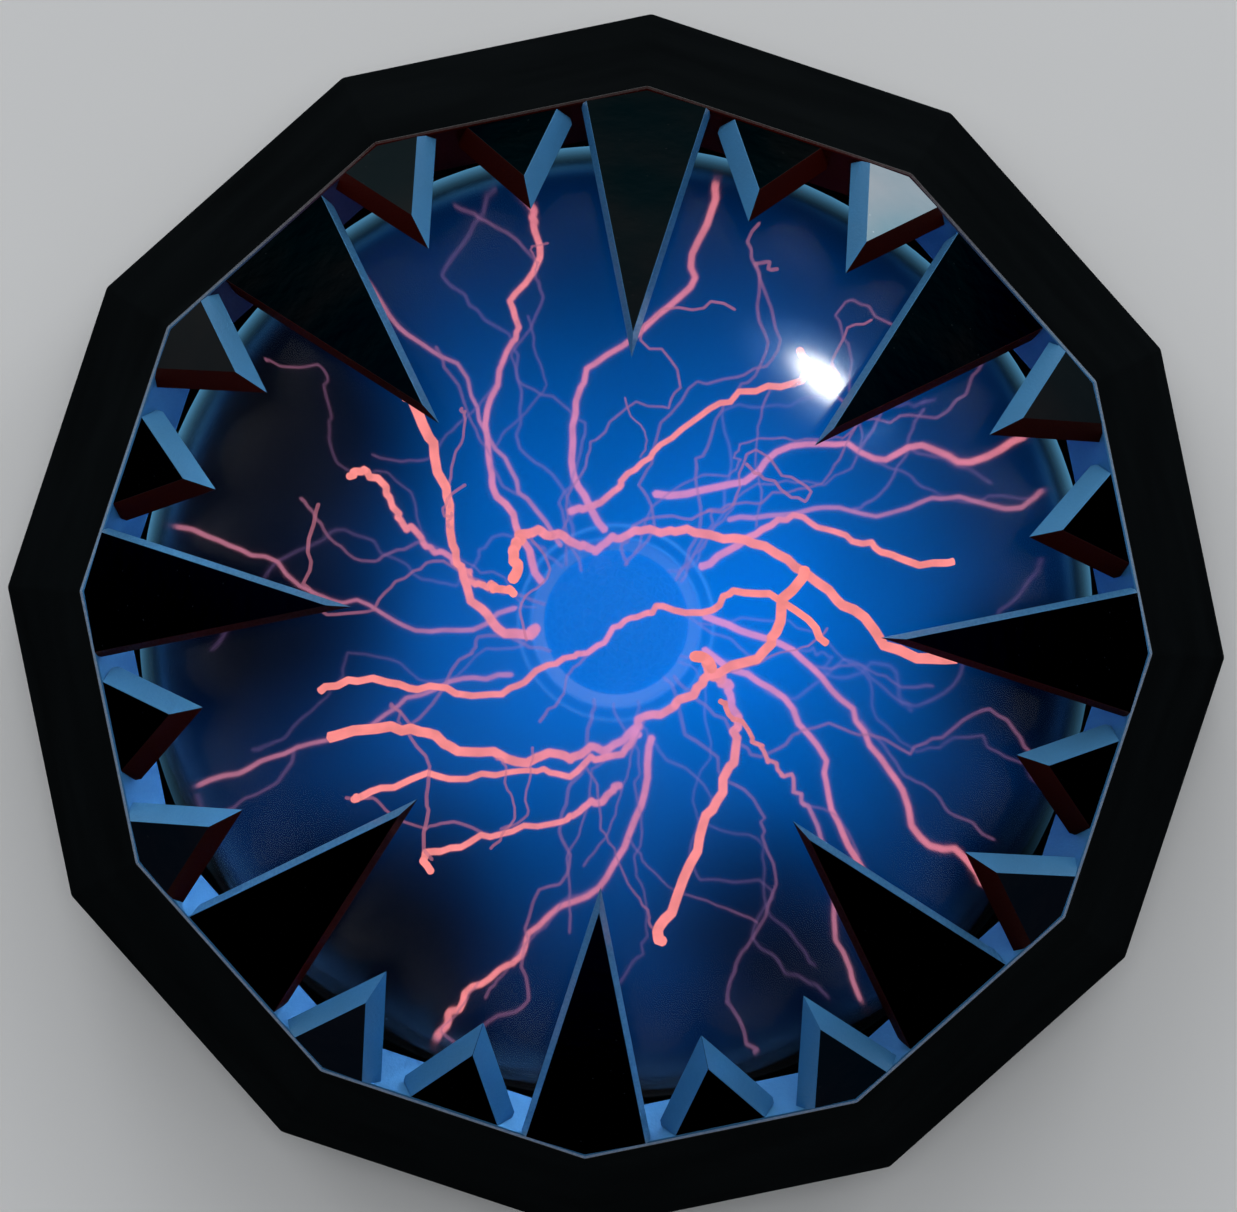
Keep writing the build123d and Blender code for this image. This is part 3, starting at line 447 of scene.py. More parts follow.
HOUSING_GLOSS = deep_black("housing_black", (0.0035, 0.0045, 0.005), 0.09, 0.00001)
BASE_GRAIN = moulded("base_black", (0.010, 0.010, 0.011), (0.022, 0.022, 0.023), 0.6, 3200, 0.0001, 0.4)
CLAW_GLOSS = black_gloss("claw_black", 0.026, 0.08, 0.06, 0.00001)
# The claw flanks, the crown ring and the trim carry painted light and shade: lighter blue where they
# face the top of the picture, and painted dark red-brown shade on the flanks that face away from it, on
# the ring's faces that face away from it, and on the part of the trim at the top of the picture.
CLAW_FLANK = steel_blue("steel_blue", "nothing")
CLAW_SHADE = steel_blue("steel_blue_shaded", "all")
RING_BLUE = steel_blue("steel_blue_ring", "facing")
TRIM_BLUE = steel_blue("steel_blue_trim", "place")
RUBBER = moulded("rubber", (0.010, 0.010, 0.010), (0.03, 0.029, 0.028), 0.85, 2600, 0.00012, 0.3)
KNOB_BLACK = moulded("knob_black", (0.012, 0.012, 0.013), (0.03, 0.03, 0.031), 0.45, 2600, 0.00006, 0.45)
CHIP_BLACK = moulded("chip_black", (0.012, 0.012, 0.013), (0.03, 0.03, 0.03), 0.5, 2500, 0.00006)

finishes = {
    "base_plate": BASE_GRAIN,
    "rubber_feet": RUBBER,
    "seat_ring": RUBBER,
    "neck_grommet": RUBBER,
    "neck_cup": moulded("cup_white", (0.62, 0.60, 0.55), (0.5, 0.47, 0.41), 0.4, 900, 0.00005),
    "globe_cradle": BASE_GRAIN,
    "glass_globe": glass("globe_glass", (1, 1, 1), 1.06, 0.13, rim=0.55),
    "electrode_stem": glass("stem_glass", (0.99, 1.0, 1.0), 1.002, 0.0),
    "electrode_wool": steel_wool(),
    "electrode_lead": metal("brass", (0.72, 0.46, 0.17), (0.45, 0.28, 0.11), 0.3, (1, 1, 0.1)),
    "driver_board": circuit_board(),
    "flyback_core": moulded("ferrite", (0.028, 0.027, 0.026), (0.06, 0.058, 0.056), 0.7, 1500, 0.0001),
    "flyback_coil": wound("coil_tape", (0.72, 0.5, 0.04), (0.4, 0.22, 0.02), 0.0024, "Z"),
    "heat_sink": metal("sink_aluminium", (0.62, 0.63, 0.65), (0.42, 0.43, 0.45), 0.35, (1, 1, 0.05)),
    "switching_transistor": CHIP_BLACK,
    "timer_chip": CHIP_BLACK,
    "capacitors": sleeved(),
    "microphone": metal("capsule_grey", (0.5, 0.5, 0.5), (0.3, 0.3, 0.3), 0.4),
    "hv_lead": wound("wire_red", (0.5, 0.02, 0.015), (0.25, 0.01, 0.01), 0.004, "Z"),
    "panel_leads": moulded("wire_black", (0.012, 0.012, 0.012), (0.035, 0.034, 0.033), 0.45, 1800, 4e-5),
    "dc_jack": KNOB_BLACK,
    "sensitivity_knob": KNOB_BLACK,
    "mode_switch_lever": KNOB_BLACK,
}
SCREW_STEEL = metal("screw_steel", (0.34, 0.34, 0.35), (0.16, 0.16, 0.17), 0.32)
NICKEL = metal("nickel", (0.66, 0.63, 0.58), (0.45, 0.43, 0.4), 0.22)
for name in ("housing_screws", "crown_screws", "inner_screws"):
    finishes[name] = SCREW_STEEL
for name in (
    "dc_jack_pin",
    "mode_switch_body",
    "potentiometer_body",
    "potentiometer_nut",
    "potentiometer_shaft",
):
    finishes[name] = NICKEL


def dress(piece, *materials):
    """Gives a piece its materials, in the order of its slots."""
    if piece.data.materials:
        piece.data.materials.clear()
    for material in materials:
        piece.data.materials.append(material)


for name, finish in finishes.items():
    dress(frame["nodes"][name], finish)


def piece_from(build, name, body, materials):
    """Turns a built shape into a smooth-shaded piece that rides on a body."""
    build.normal_update()
    for face in build.faces:
        face.smooth = True
    mesh = bpy.data.meshes.new(name)
    build.to_mesh(mesh)
    build.free()
    piece = bpy.data.objects.new(name, mesh)
    bpy.context.scene.collection.objects.link(piece)
    dress(piece, *materials)
    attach(piece, body)
    return piece


# ---- Housing and claws with softened edges ----
HOUSING_EDGE = 0.45 * MM
CLAW_EDGE = 0.18 * MM
FACET_TURN = 8  # degrees between two facets of the housing, at least
CLAW_TURN = 25  # degrees between two faces of a claw, at least
SHORT_LEAN, LONG_LEAN = radians(22), radians(9)  # a flank's edge from the claw's middle line
plinth_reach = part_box("plinth_shell")[1].x
plinth_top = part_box("plinth_shell")[1].z


def softened(name, width, is_edge, materials, material_of=None, segments=3):
    """Stands for a CAD node: its own mesh, with the edges that show rounded off."""
    cad = frame["nodes"][name]
    build = bmesh.new()
    build.from_mesh(cad.data)
    bmesh.ops.remove_doubles(build, verts=build.verts, dist=0.002 * MM)
    bmesh.ops.dissolve_limit(build, angle_limit=radians(0.3), verts=build.verts, edges=build.edges)
    build.normal_update()
    sharp = [edge for edge in build.edges if edge.is_manifold and is_edge(edge)]
    bmesh.ops.bevel(
        build,
        geom=sharp,
        offset=width,
        offset_type="OFFSET",
        segments=segments,
        profile=0.6,
        affect="EDGES",
        clamp_overlap=True,
    )
    build.normal_update()
    for face in build.faces:
        face.material_index = material_of(face) if material_of else 0
    piece = piece_from(build, name + "_finish", "housing", materials)
    weighted = piece.modifiers.new("weighted_normals", "WEIGHTED_NORMAL")
    weighted.keep_sharp = True
    piece.data.set_sharp_from_angle(angle=radians(50))
    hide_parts(name)


def turns_by(edge, least):
    """Whether the faces at an edge turn by more than that many degrees."""
    return edge.calc_face_angle(0) > radians(least)


def outward_edge(reach):
    """Picks the edges of the twelve-sided outer skin: both ends lie beyond the reach at their height."""

    def pick(edge):
        outer = all(vert.co.xy.length > reach(vert.co.z) for vert in edge.verts)
        return outer and turns_by(edge, FACET_TURN)

    return pick


def cowl_reach(z):
    """Just inside the cowl's skin at a height, above the plinth."""
    share = (z - plinth_top) / (LEDGE_Z - plinth_top)
    return plinth_reach + (RIM_APOTHEM - plinth_reach) * max(share, 0) - 0.5 * MM


softened("facet_cowl", HOUSING_EDGE, outward_edge(cowl_reach), [HOUSING_GLOSS])
softened(
    "plinth_shell",
    HOUSING_EDGE,
    outward_edge(lambda z: plinth_reach - 0.7 * MM),
    [HOUSING_GLOSS],
)
softened(
    "rim_trim_ring",
    CLAW_EDGE / 2,
    outward_edge(lambda z: RIM_APOTHEM - 0.1 * MM),
    [TRIM_BLUE],
    segments=2,
)
dress(frame["nodes"]["crown_ring"], RING_BLUE)


def claw_material(centre, lean):
    """Picks a claw's materials by face: 0 on the flat ones, 1 on a lit flank, 2 on a flank with painted
    shade, one that faces away from the top of the picture.

    centre is the claw's middle, and lean is its flanks' angle from its middle line.
    """
    outward = Vector((centre.x, centre.y, 0)).normalized()
    across = Vector((-outward.y, outward.x, 0))

    def material_of(face):
        side = face.normal.dot(across)
        if abs(side) < 0.4:
            return 0
        facing = across * (cos(lean) if side > 0 else -cos(lean)) - outward * sin(lean)
        return 1 if facing.dot(VIEW_UP) > -0.4 else 2

    return material_of


def clear_of_ledge(edge):
    """Picks a claw's edges, down to just above the ledge that it stands on."""
    return turns_by(edge, CLAW_TURN) and min(vert.co.z for vert in edge.verts) > LEDGE_Z + 2 * MM


for name in sorted(frame["nodes"]):
    if "_claw_" in name:
        middle = sum(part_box(name), Vector()) / 2
        lean = LONG_LEAN if name.startswith("long") else SHORT_LEAN
        softened(
            name,
            CLAW_EDGE,
            clear_of_ledge,
            [CLAW_GLOSS, CLAW_FLANK, CLAW_SHADE],
            claw_material(middle, lean),
        )


# ---- Marks on the controls, without lettering ----
PRINT = moulded("print_pale", (0.42, 0.44, 0.46), (0.30, 0.31, 0.33), 0.5, 3000, 0.00002)
MARK_STEPS = 16  # corners of a mark's outline
MARK_SUNK = 0.05 * MM  # how far its foot reaches into the wall
SHOULDER, TOP = 0.6, 0.72  # the softened edge starts at this share of its height, and its top's width


def raised_mark(build, x, z, turn, length, width, wall_y, height):
    """A low bar with round ends and a softened top, on a wall that faces the rear."""
    loops = []
    outline = ((1, -MARK_SUNK), (1, height * SHOULDER), (TOP, height))
    for share, rise in outline:
        reach = share * width / 2
        loop = []
        for step in range(MARK_STEPS):
            angle = 2 * pi * (step + 0.5) / MARK_STEPS
            along = reach * cos(angle) + (length - width) / 2 * (1 if cos(angle) > 0 else -1)
            aside = reach * sin(angle)
            across = along * cos(turn) - aside * sin(turn)
            upward = along * sin(turn) + aside * cos(turn)
            loop.append(build.verts.new((x + across, wall_y + rise, z + upward)))
        loops.append(loop)
    for first, second in zip(loops, loops[1:]):
        for step in range(MARK_STEPS):
            following = (step + 1) % MARK_STEPS
            build.faces.new((first[step], second[step], second[following], first[following]))
    build.faces.new(loops[0])
    build.faces.new(loops[-1][::-1])


knob_low, knob_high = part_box("sensitivity_knob")
knob_x, knob_z = (knob_low.x + knob_high.x) / 2, (knob_low.z + knob_high.z) / 2
knob_reach = (knob_high.x - knob_low.x) / 2
bay_wall_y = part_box("potentiometer_nut")[0].y
lever_low, lever_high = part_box("mode_switch_lever")
lever_x = (lever_low.x + lever_high.x) / 2
KNOB_SWEEP = 150  # degrees each way from straight up
TICK_COUNT = 11
LONG_TICKS = (0, TICK_COUNT // 2, TICK_COUNT - 1)
LONG_TICK, TICK = 1.2 * MM, 0.8 * MM
TICK_WIDTH = 0.4 * MM
TICK_GAP = 0.4 * MM  # from the knob's rim
MARK_HEIGHT = 0.25 * MM
SWITCH_MARKS = (0.8 * MM, 1.4 * MM, 2.0 * MM)  # lengths, for off, on and sound
SWITCH_MARK_SPACING = 4.4 * MM
SWITCH_MARK_RISE = 2.4 * MM  # above the lever
SWITCH_MARK_WIDTH = 0.7 * MM
POINTER_MARGIN = 1.3 * MM  # what the pointer's line leaves of the groove's length
POINTER_WIDTH = 0.8 * MM
GROOVE_DEPTH = 0.5 * MM
POINTER_HEIGHT = 0.38 * MM  # above the groove's floor

panel_build = bmesh.new()
for tick in range(TICK_COUNT):
    turn = radians(90 + KNOB_SWEEP - 2 * KNOB_SWEEP * tick / (TICK_COUNT - 1))
    length = LONG_TICK if tick in LONG_TICKS else TICK
    reach = knob_reach + TICK_GAP + length / 2
    tick_x, tick_z = knob_x + reach * cos(turn), knob_z + reach * sin(turn)
    raised_mark(panel_build, tick_x, tick_z, turn, length, TICK_WIDTH, bay_wall_y, MARK_HEIGHT)
for step, length in enumerate(SWITCH_MARKS, -1):
    mark_x, mark_z = lever_x + step * SWITCH_MARK_SPACING, lever_high.z + SWITCH_MARK_RISE
    raised_mark(panel_build, mark_x, mark_z, pi / 2, length, SWITCH_MARK_WIDTH, bay_wall_y, MARK_HEIGHT)
piece_from(panel_build, "panel_marks", "housing", [PRINT])

pointer_build = bmesh.new()
raised_mark(
    pointer_build,
    knob_x,
    knob_z + knob_reach / 2,
    pi / 2,
    knob_reach - POINTER_MARGIN,
    POINTER_WIDTH,
    knob_high.y - GROOVE_DEPTH,
    POINTER_HEIGHT,
)
piece_from(pointer_build, "knob_pointer", "knob", [PRINT])


# ---- Gas ----
# Dark pockets near the glass: right and up from the axis, and reach, in millimetres
DARK_POCKETS = (
    (-51, 29, 34),
    (-36, -47, 30),
    (24, -49, 26),
    (66, -8, 20),
    (64, -42, 18),
    (-54, 0, 28),
)
POCKET_FLATTENING = (1, 1, 0.35)
GLOW_SHIFT = (VIEW_RIGHT * 6 + VIEW_UP * 3) * MM
GLOW_STRENGTH = 11.6
SKIN_COVER = 0.05  # how much of the gas's light the skin carries
LIMB_REFLECTION_COVER = 0.3  # the same, for the painted reflection: a pale band near the globe's middle height
# The bowl of painted shade: a near-black shell just inside the lower glass, which keeps the lit inside
# of the housing from showing through the globe.
SHADE_BOWL_GAP = 0.35 * MM
SHADE_BOWL_THICKNESS = 0.25 * MM
SHADE_BOWL_BELOW_LEDGE = 9 * MM
NECK_OPENING = 15.5 * MM  # radius


def gas_clouds(tree, where, offset):
    """Cloudy gas, thinned out in the dark pockets."""
    clouds = grain(tree, where, 22, 2, 0.5, 1.25)
    flat = node(tree, "VectorMath", {0: offset, 1: POCKET_FLATTENING}, operation="MULTIPLY").outputs[0]
    for right, up, reach in DARK_POCKETS:
        away = apart(tree, flat, (VIEW_RIGHT * right + VIEW_UP * up) * MM)
        opened = spread(tree, away, reach * MM * 0.25, reach * MM, 0.08, 1.0, "SMOOTHSTEP")
        clouds = math_of(tree, "MULTIPLY", clouds, opened)
    return clouds


def painted_limb_reflection(tree, where, offset):
    """A painted reflection: a patchy pale band on the skin, from a little below the globe's middle
    height to a little above, in the upper part of the view.
    """
    rise = node(tree, "SeparateXYZ", {0: offset}).outputs["Z"]
    band = spread(tree, rise, 22 * MM, 6 * MM, 0, 1, "SMOOTHSTEP")
    lower_end = spread(tree, rise, -12 * MM, 4 * MM, 0, 1, "SMOOTHSTEP")
    band = math_of(tree, "MULTIPLY", band, lower_end)
    upper = spread(tree, up_the_view(tree, offset), -40 * MM, 10 * MM, 0, 1, "SMOOTHSTEP")
    band = math_of(tree, "MULTIPLY", band, upper)
    return math_of(tree, "MULTIPLY", band, grain(tree, where, 26, 2, 0.25, 1.0))


def glow(name):
    """Glowing blue gas: brightest round the electrode, with dark pockets towards the glass.

    The volume gives the depth. The skin carries the same clouds where volumes aren't drawn, and a
    painted reflection: a patchy pale band in the upper part of the view.
    """
    made, tree, output = blank(name)
    where = node(tree, "TexCoord").outputs["Object"]
    offset = node(tree, "VectorMath", {0: where, 1: GLOBE_CENTRE}, operation="SUBTRACT").outputs[0]
    clouds = gas_clouds(tree, where, offset)
    distance = apart(tree, offset, GLOW_SHIFT)
    fall = spread(tree, distance, 0.12 * GAS_RADIUS, 1.06 * GAS_RADIUS, 1.0, 0.0, "SMOOTHSTEP")
    fall = math_of(tree, "ADD", fall, 0.06)
    strength = math_of(tree, "MULTIPLY", math_of(tree, "MULTIPLY", clouds, fall), GLOW_STRENGTH)
    outwards = spread(tree, distance, 0, GAS_RADIUS, 0, 1)
    blue = blend(tree, outwards, rgba((0.0, 0.26, 1.0)), rgba((0.0, 0.09, 0.42)))
    gas = node(tree, "Emission", {"Color": blue, "Strength": strength})
    haze = node(tree, "VolumeAbsorption", {"Color": rgba((0.12, 0.3, 0.75)), "Density": 3.0})
    volume = node(tree, "AddShader", {0: gas.outputs[0], 1: haze.outputs[0]})
    tree.links.new(volume.outputs[0], output.inputs["Volume"])
    # Painted reflection on the skin: a pale blue band near the outline, in the upper part of the view.
    band = painted_limb_reflection(tree, where, offset)
    skin_blue = blend(tree, band, rgba((0.0, 0.12, 0.55)), rgba((0.09, 0.36, 0.62)))
    skin_light = node(tree, "Emission", {"Color": skin_blue, "Strength": 1.0})
    cloudy = math_of(tree, "MULTIPLY", spread(tree, clouds, 0.5, 1.25, 0, 1), SKIN_COVER)
    share = math_of(tree, "MAXIMUM", cloudy, math_of(tree, "MULTIPLY", band, LIMB_REFLECTION_COVER))
    clear = node(tree, "BsdfTransparent")
    skin = node(tree, "MixShader", {0: share, 1: clear.outputs[0], 2: skin_light.outputs[0]})
    tree.links.new(skin.outputs[0], output.inputs["Surface"])
    return made


def bowl(build, radius, low_z, high_z, thickness, rings=40, sides=96):
    """A bowl open at both ends, as a closed shell of that thickness."""
    loops = []
    polar_low = acos((low_z - GLOBE_CENTRE.z) / radius)
    polar_high = acos((high_z - GLOBE_CENTRE.z) / radius)
    for reach, order in ((radius, 1), (radius - thickness, -1)):
        for ring in range(rings + 1)[::order]:
            polar = polar_low + (polar_high - polar_low) * ring / rings
            flat, rise = reach * sin(polar), reach * cos(polar)
            loop = []
            for side in range(sides):
                turn = 2 * pi * side / sides
                spot = Vector((flat * cos(turn), flat * sin(turn), rise))
                loop.append(build.verts.new(GLOBE_CENTRE + spot))
            loops.append(loop)
    for first, second in zip(loops, loops[1:] + loops[:1]):
        for side in range(sides):
            following = (side + 1) % sides
            build.faces.new((first[side], first[following], second[following], second[side]))


gas_build = bmesh.new()
middle = Matrix.Translation(GLOBE_CENTRE)
bmesh.ops.create_icosphere(gas_build, subdivisions=5, radius=GAS_RADIUS, matrix=middle)
piece_from(gas_build, "glowing_gas", "housing", [glow("gas_glow")])


# ---- Streamers ----
THIN_AT_ROOT = 0.3  # how much thinner a streamer is at the electrode
CRINKLE_STEP, CRINKLE_WANDER = 2.2 * MM, 1.4 * MM
COARSE_KINKS, FINE_KINKS = 140, 520  # noise scales
FINE_SHARE = 0.45
BRANCH_COUNT, WANDERING_COUNT = 32, 24
THICK, MEDIUM, FINE, FAINT = 0.86, 0.62, 0.42, 0.22  # radii in millimetres
# Each streamer has its size, the number of the point that passes closest to the electrode, and its
# points: right and up from the axis, in millimetres, as seen at the rim's height. Both of its ends
# reach out to the glass.
STREAMERS = (
    (THICK, 3, (
        (-16, 7), (-16, 12), (-12, 14), (-3, 12), (4, 14), (13, 14), (22, 12), (29, 8), (36, 3),
        (44, -4), (53, -6),
    )),
    (THICK, 6, ((-33, 35), (-29, 30), (-27, 22), (-25, 13), (-24, 5), (-18, -1), (-12, -1))),
    (THICK, 5, (
        (-45, -18), (-34, -16), (-27, -19), (-18, -21), (-9, -21), (1, -18), (10, -12), (16, -7),
        (24, -4), (26, 3), (30, 8),
    )),
    (THICK, 5, ((7, -50), (7, -46), (12, -36), (17, -26), (19, -18), (18, -11), (13, -5))),
    (MEDIUM, 0, (
        (-12, 6), (-15, 14), (-20, 24), (-22, 33), (-18, 41), (-15, 46), (-16, 50), (-12, 57),
        (-13, 66), (-17, 74),
    )),
    (MEDIUM, 5, (
        (-46, -11), (-38, -9), (-29, -10), (-20, -11), (-10, -7), (-2, -3), (5, 2), (13, 2),
        (19, 5), (27, 3), (33, -3),
    )),
    (MEDIUM, 5, ((-40, -28), (-38, -26), (-27, -24), (-15, -23), (-6, -23), (4, -18))),
    (MEDIUM, 4, ((-29, -39), (-29, -36), (-21, -33), (-9, -31), (1, -26))),
    (MEDIUM, 5, ((29, 42), (29, 38), (18, 35), (7, 28), (1, 22), (-7, 17))),
    (MEDIUM, 3, ((-42, 23), (-38, 23), (-34, 17), (-27, 10), (-16, 4))),
    (MEDIUM, 4, ((52, 9), (44, 10), (36, 13), (27, 16), (14, 9))),
    (MEDIUM, 8, (
        (16, 75), (16, 70), (13, 63), (13, 58), (5, 49), (-4, 42), (-7, 35), (-7, 24), (-2, 14),
    )),
    (MEDIUM, 8, (
        (72, 33), (67, 31), (57, 26), (49, 28), (43, 26), (36, 29), (29, 30), (21, 24), (7, 20),
    )),
    (FINE, 5, ((74, 23), (63, 19), (55, 21), (47, 19), (40, 22), (18, 16))),
    (MEDIUM, 7, (
        (60, -43), (55, -37), (50, -35), (46, -26), (41, -18), (37, -11), (29, -4), (14, 1),
    )),
    (MEDIUM, 7, (
        (51, -56), (48, -52), (45, -45), (42, -40), (39, -32), (40, -23), (36, -15), (14, -4),
    )),
    (FINE, 4, ((40, -62), (38, -56), (36, -50), (35, -42), (31, -30), (16, -12))),
    (MEDIUM, 6, ((-29, -68), (-23, -57), (-16, -53), (-12, -47), (-2, -44), (4, -39), (6, -18))),
    (FINE, 5, ((-70, -27), (-65, -26), (-57, -22), (-48, -21), (-43, -15), (-16, -8))),
    (FINE, 6, ((-74, 16), (-66, 14), (-59, 11), (-51, 5), (-45, 3), (-41, -3), (-16, 2))),
    (FINE, 4, ((-44, 58), (-38, 52), (-29, 46), (-24, 36), (-9, 12))),
)


def seen_at(right, up, height):
    """The point that the camera sees at this place on the rim's plane, at another height."""
    share = (CAMERA_Z - height) / (CAMERA_Z - RIM_Z)
    return (VIEW_RIGHT * right + VIEW_UP * up) * MM * share + Vector((0, 0, height))


def lifted(right, up, distance):
    """The point of the upper half of the gas that is seen there, at a distance from its centre."""
    point = seen_at(right, up, GLOBE_CENTRE.z)
    for _ in range(6):
        flat = Vector((point.x, point.y, 0))
        if flat.length > distance:
            return flat.normalized() * distance + GLOBE_CENTRE
        rise = sqrt(distance**2 - flat.length_squared)
        point = seen_at(right, up, GLOBE_CENTRE.z + rise)
    return point


def path_of(points, nearest):
    """Lifts a streamer's points off the electrode towards the glass at both of its ends."""
    root = max(BULB_RADIUS + 0.5 * MM, Vector(points[nearest]).length * MM)
    path = []
    for index, (right, up) in enumerate(points):
        run = nearest if index < nearest else len(points) - 1 - nearest
        share = abs(index - nearest) / run if run else 0
        distance = root + (STREAMER_REACH - root) * share**0.8
        path.append(lifted(right, up, distance))
    return path


def crinkled(path, step, wander, seed):
    """A smooth curve through the points, with the small kinks of a spark."""
    ends = [2 * path[0] - path[1], *path, 2 * path[-1] - path[-2]]
    line = []
    for first, start, end, last in zip(ends, ends[1:], ends[2:], ends[3:]):
        count = max(1, round((end - start).length / step))
        for index in range(count):
            t = index / count
            curve = 2 * start + (end - first) * t
            curve += (2 * first - 5 * start + 4 * end - last) * t**2
            curve += (3 * start - first - 3 * end + last) * t**3
            line.append(curve / 2)
    line.append(path[-1])
    shifted = []
    for point in line:
        coarse = noise.noise_vector(point * COARSE_KINKS + Vector((seed * 7.3, 0, 0)))
        fine = noise.noise_vector(point * FINE_KINKS + Vector((0, seed * 5.1, 0)))
        moved = point + (coarse + fine * FINE_SHARE) * wander - GLOBE_CENTRE
        if moved.length > STREAMER_REACH:
            moved = moved.normalized() * STREAMER_REACH
        shifted.append(moved + GLOBE_CENTRE)
    return shifted


def tube(build, line, radius_at, sides=8):
    """A round-ended tube along a line, with its radius in millimetres from radius_at(share)."""
    side = Vector((0.31, 0.27, 0.91))
    loops = []
    for index, point in enumerate(line):
        ahead = line[min(index + 1, len(line) - 1)] - line[max(index - 1, 0)]
        ahead = ahead.normalized() if ahead.length > 0 else Vector((0, 0, 1))
        side = (side - ahead * side.dot(ahead)).normalized()
        across = ahead.cross(side)
        radius = radius_at(index / (len(line) - 1)) * MM
        loop = []
        for corner in range(sides):
            turn = 2 * pi * corner / sides
            loop.append(build.verts.new(point + (side * cos(turn) + across * sin(turn)) * radius))
        loops.append(loop)
    for first, second in zip(loops, loops[1:]):
        for corner in range(sides):
            following = (corner + 1) % sides
            build.faces.new((first[corner], first[following], second[following], second[corner]))
    build.faces.new(loops[0][::-1])
    build.faces.new(loops[-1])


def streamer_radius(size, thin_root, length):
    """Thick at the glass and thinner at the electrode, with a rounded end."""

    def radius_at(share):
        to_end = min(share, 1 - share) * length / (size * MM)
        cap = sqrt(max(1 - (1 - min(to_end, 1)) ** 2, 0.02))
        return size * (1 - thin_root * (1 - abs(2 * share - 1))) * cap

    return radius_at


def add_streamer(build, size, line):
    """Adds one streamer, with extra loops where its ends round off."""
    length = sum((second - first).length for first, second in zip(line, line[1:]))
    caps = [line[0].lerp(line[1], share) for share in (0.15, 0.4)]
    tail = [line[-2].lerp(line[-1], share) for share in (0.6, 0.85)]
    full = [line[0], *caps, *line[1:-1], *tail, line[-1]]
    tube(build, full, streamer_radius(size, THIN_AT_ROOT, length))


def spark_light(name, near, far, low, high, strength, cover):
    """Light of a streamer: coral near the top of the globe, violet where the gas is deeper."""
    made, tree, output = blank(name)
    where = node(tree, "TexCoord").outputs["Object"]
    height = node(tree, "SeparateXYZ", {0: where}).outputs["Z"]
    low_z, high_z = GLOBE_CENTRE.z + low * MM, GLOBE_CENTRE.z + high * MM
    rise = spread(tree, height, low_z, high_z, 0, 1, "SMOOTHSTEP")
    beads = math_of(tree, "MULTIPLY", grain(tree, where, 260, 2, 0.82, 1.08), strength)
    colour = blend(tree, rise, rgba(far), rgba(near))
    light = node(tree, "Emission", {"Color": colour, "Strength": beads})
    clear = node(tree, "BsdfTransparent")
    shown = spread(tree, rise, 0, 1, cover * 0.7, cover)
    mixed = node(tree, "MixShader", {0: shown, 1: clear.outputs[0], 2: light.outputs[0]})
    tree.links.new(mixed.outputs[0], output.inputs["Surface"])
    return made


# Painted shade: near-black, for the bowl inside the lower globe.
SHADE_BOWL_BLACK = moulded("painted_shade_bowl", (0.0005, 0.0008, 0.002), (0.001, 0.002, 0.006), 0.9, 900, 0.00003, 0.0)
BRIGHT_SPARK = spark_light("spark_bright", (1.0, 0.28, 0.26), (0.85, 0.23, 0.27), -5, 45, 1.05, 1.0)
FINE_SPARK = spark_light("spark_fine", (0.92, 0.27, 0.29), (0.6, 0.2, 0.3), -20, 55, 0.9, 0.85)
FAINT_SPARK = spark_light("spark_faint", (0.75, 0.24, 0.34), (0.3, 0.16, 0.36), -20, 55, 0.8, 0.3)

main_build = bmesh.new()
main_lines = []
for seed, (size, nearest, points) in enumerate(STREAMERS):
    line = crinkled(path_of(points, nearest), CRINKLE_STEP, CRINKLE_WANDER, seed)
    main_lines.append((size, line))
    if size >= MEDIUM:
        add_streamer(main_build, size, line)

fine_build = bmesh.new()
for size, line in main_lines:
    if size < MEDIUM:
        add_streamer(fine_build, size, line)


def branch_from(line, seed):
    """A thin side branch that leaves a streamer and runs on towards the glass."""
    start = line[random.randrange(len(line) // 6, len(line) * 5 // 6)]
    outward = (start - GLOBE_CENTRE).normalized()
    sideways = Vector((random.uniform(-1, 1), random.uniform(-1, 1), random.uniform(-0.6, 1)))
    heading = (outward * 0.6 + sideways.normalized()).normalized()
    points = [start]
    for _ in range(random.randint(3, 6)):
        stray = Vector([random.uniform(-0.5, 0.5) for _ in range(3)])
        heading = (heading + outward * 0.25 + stray).normalized()
        step = points[-1] + heading * random.uniform(4, 7) * MM - GLOBE_CENTRE
        if step.length > STREAMER_REACH:
            step = step.normalized() * STREAMER_REACH
        points.append(step + GLOBE_CENTRE)
    return crinkled(points, 1.4 * MM, 1.2 * MM, seed)


faint_build = bmesh.new()
for seed in range(BRANCH_COUNT):
    size, line = random.choice(main_lines)
    add_streamer(faint_build, FAINT * random.uniform(0.7, 1.3), branch_from(line, 100 + seed))


def wandering(seed):
    """A faint streamer from the electrode to the glass, in any direction but straight up."""
    turn = random.uniform(0, 2 * pi)
    rise = random.uniform(-0.75, 0.7)
    flat = sqrt(1 - rise * rise)
    heading = Vector((flat * cos(turn), flat * sin(turn), rise))
    points = []
    for index in range(7):
        share = index / 6
        distance = BULB_RADIUS + (STREAMER_REACH - BULB_RADIUS) * share
        heading = (heading + Vector([random.uniform(-0.22, 0.22) for _ in range(3)])).normalized()
        points.append(GLOBE_CENTRE + heading * distance)
    return crinkled(points, 1.8 * MM, 2.0 * MM, seed)


for seed in range(WANDERING_COUNT):
    add_streamer(faint_build, FAINT * random.uniform(0.8, 1.5), wandering(200 + seed))

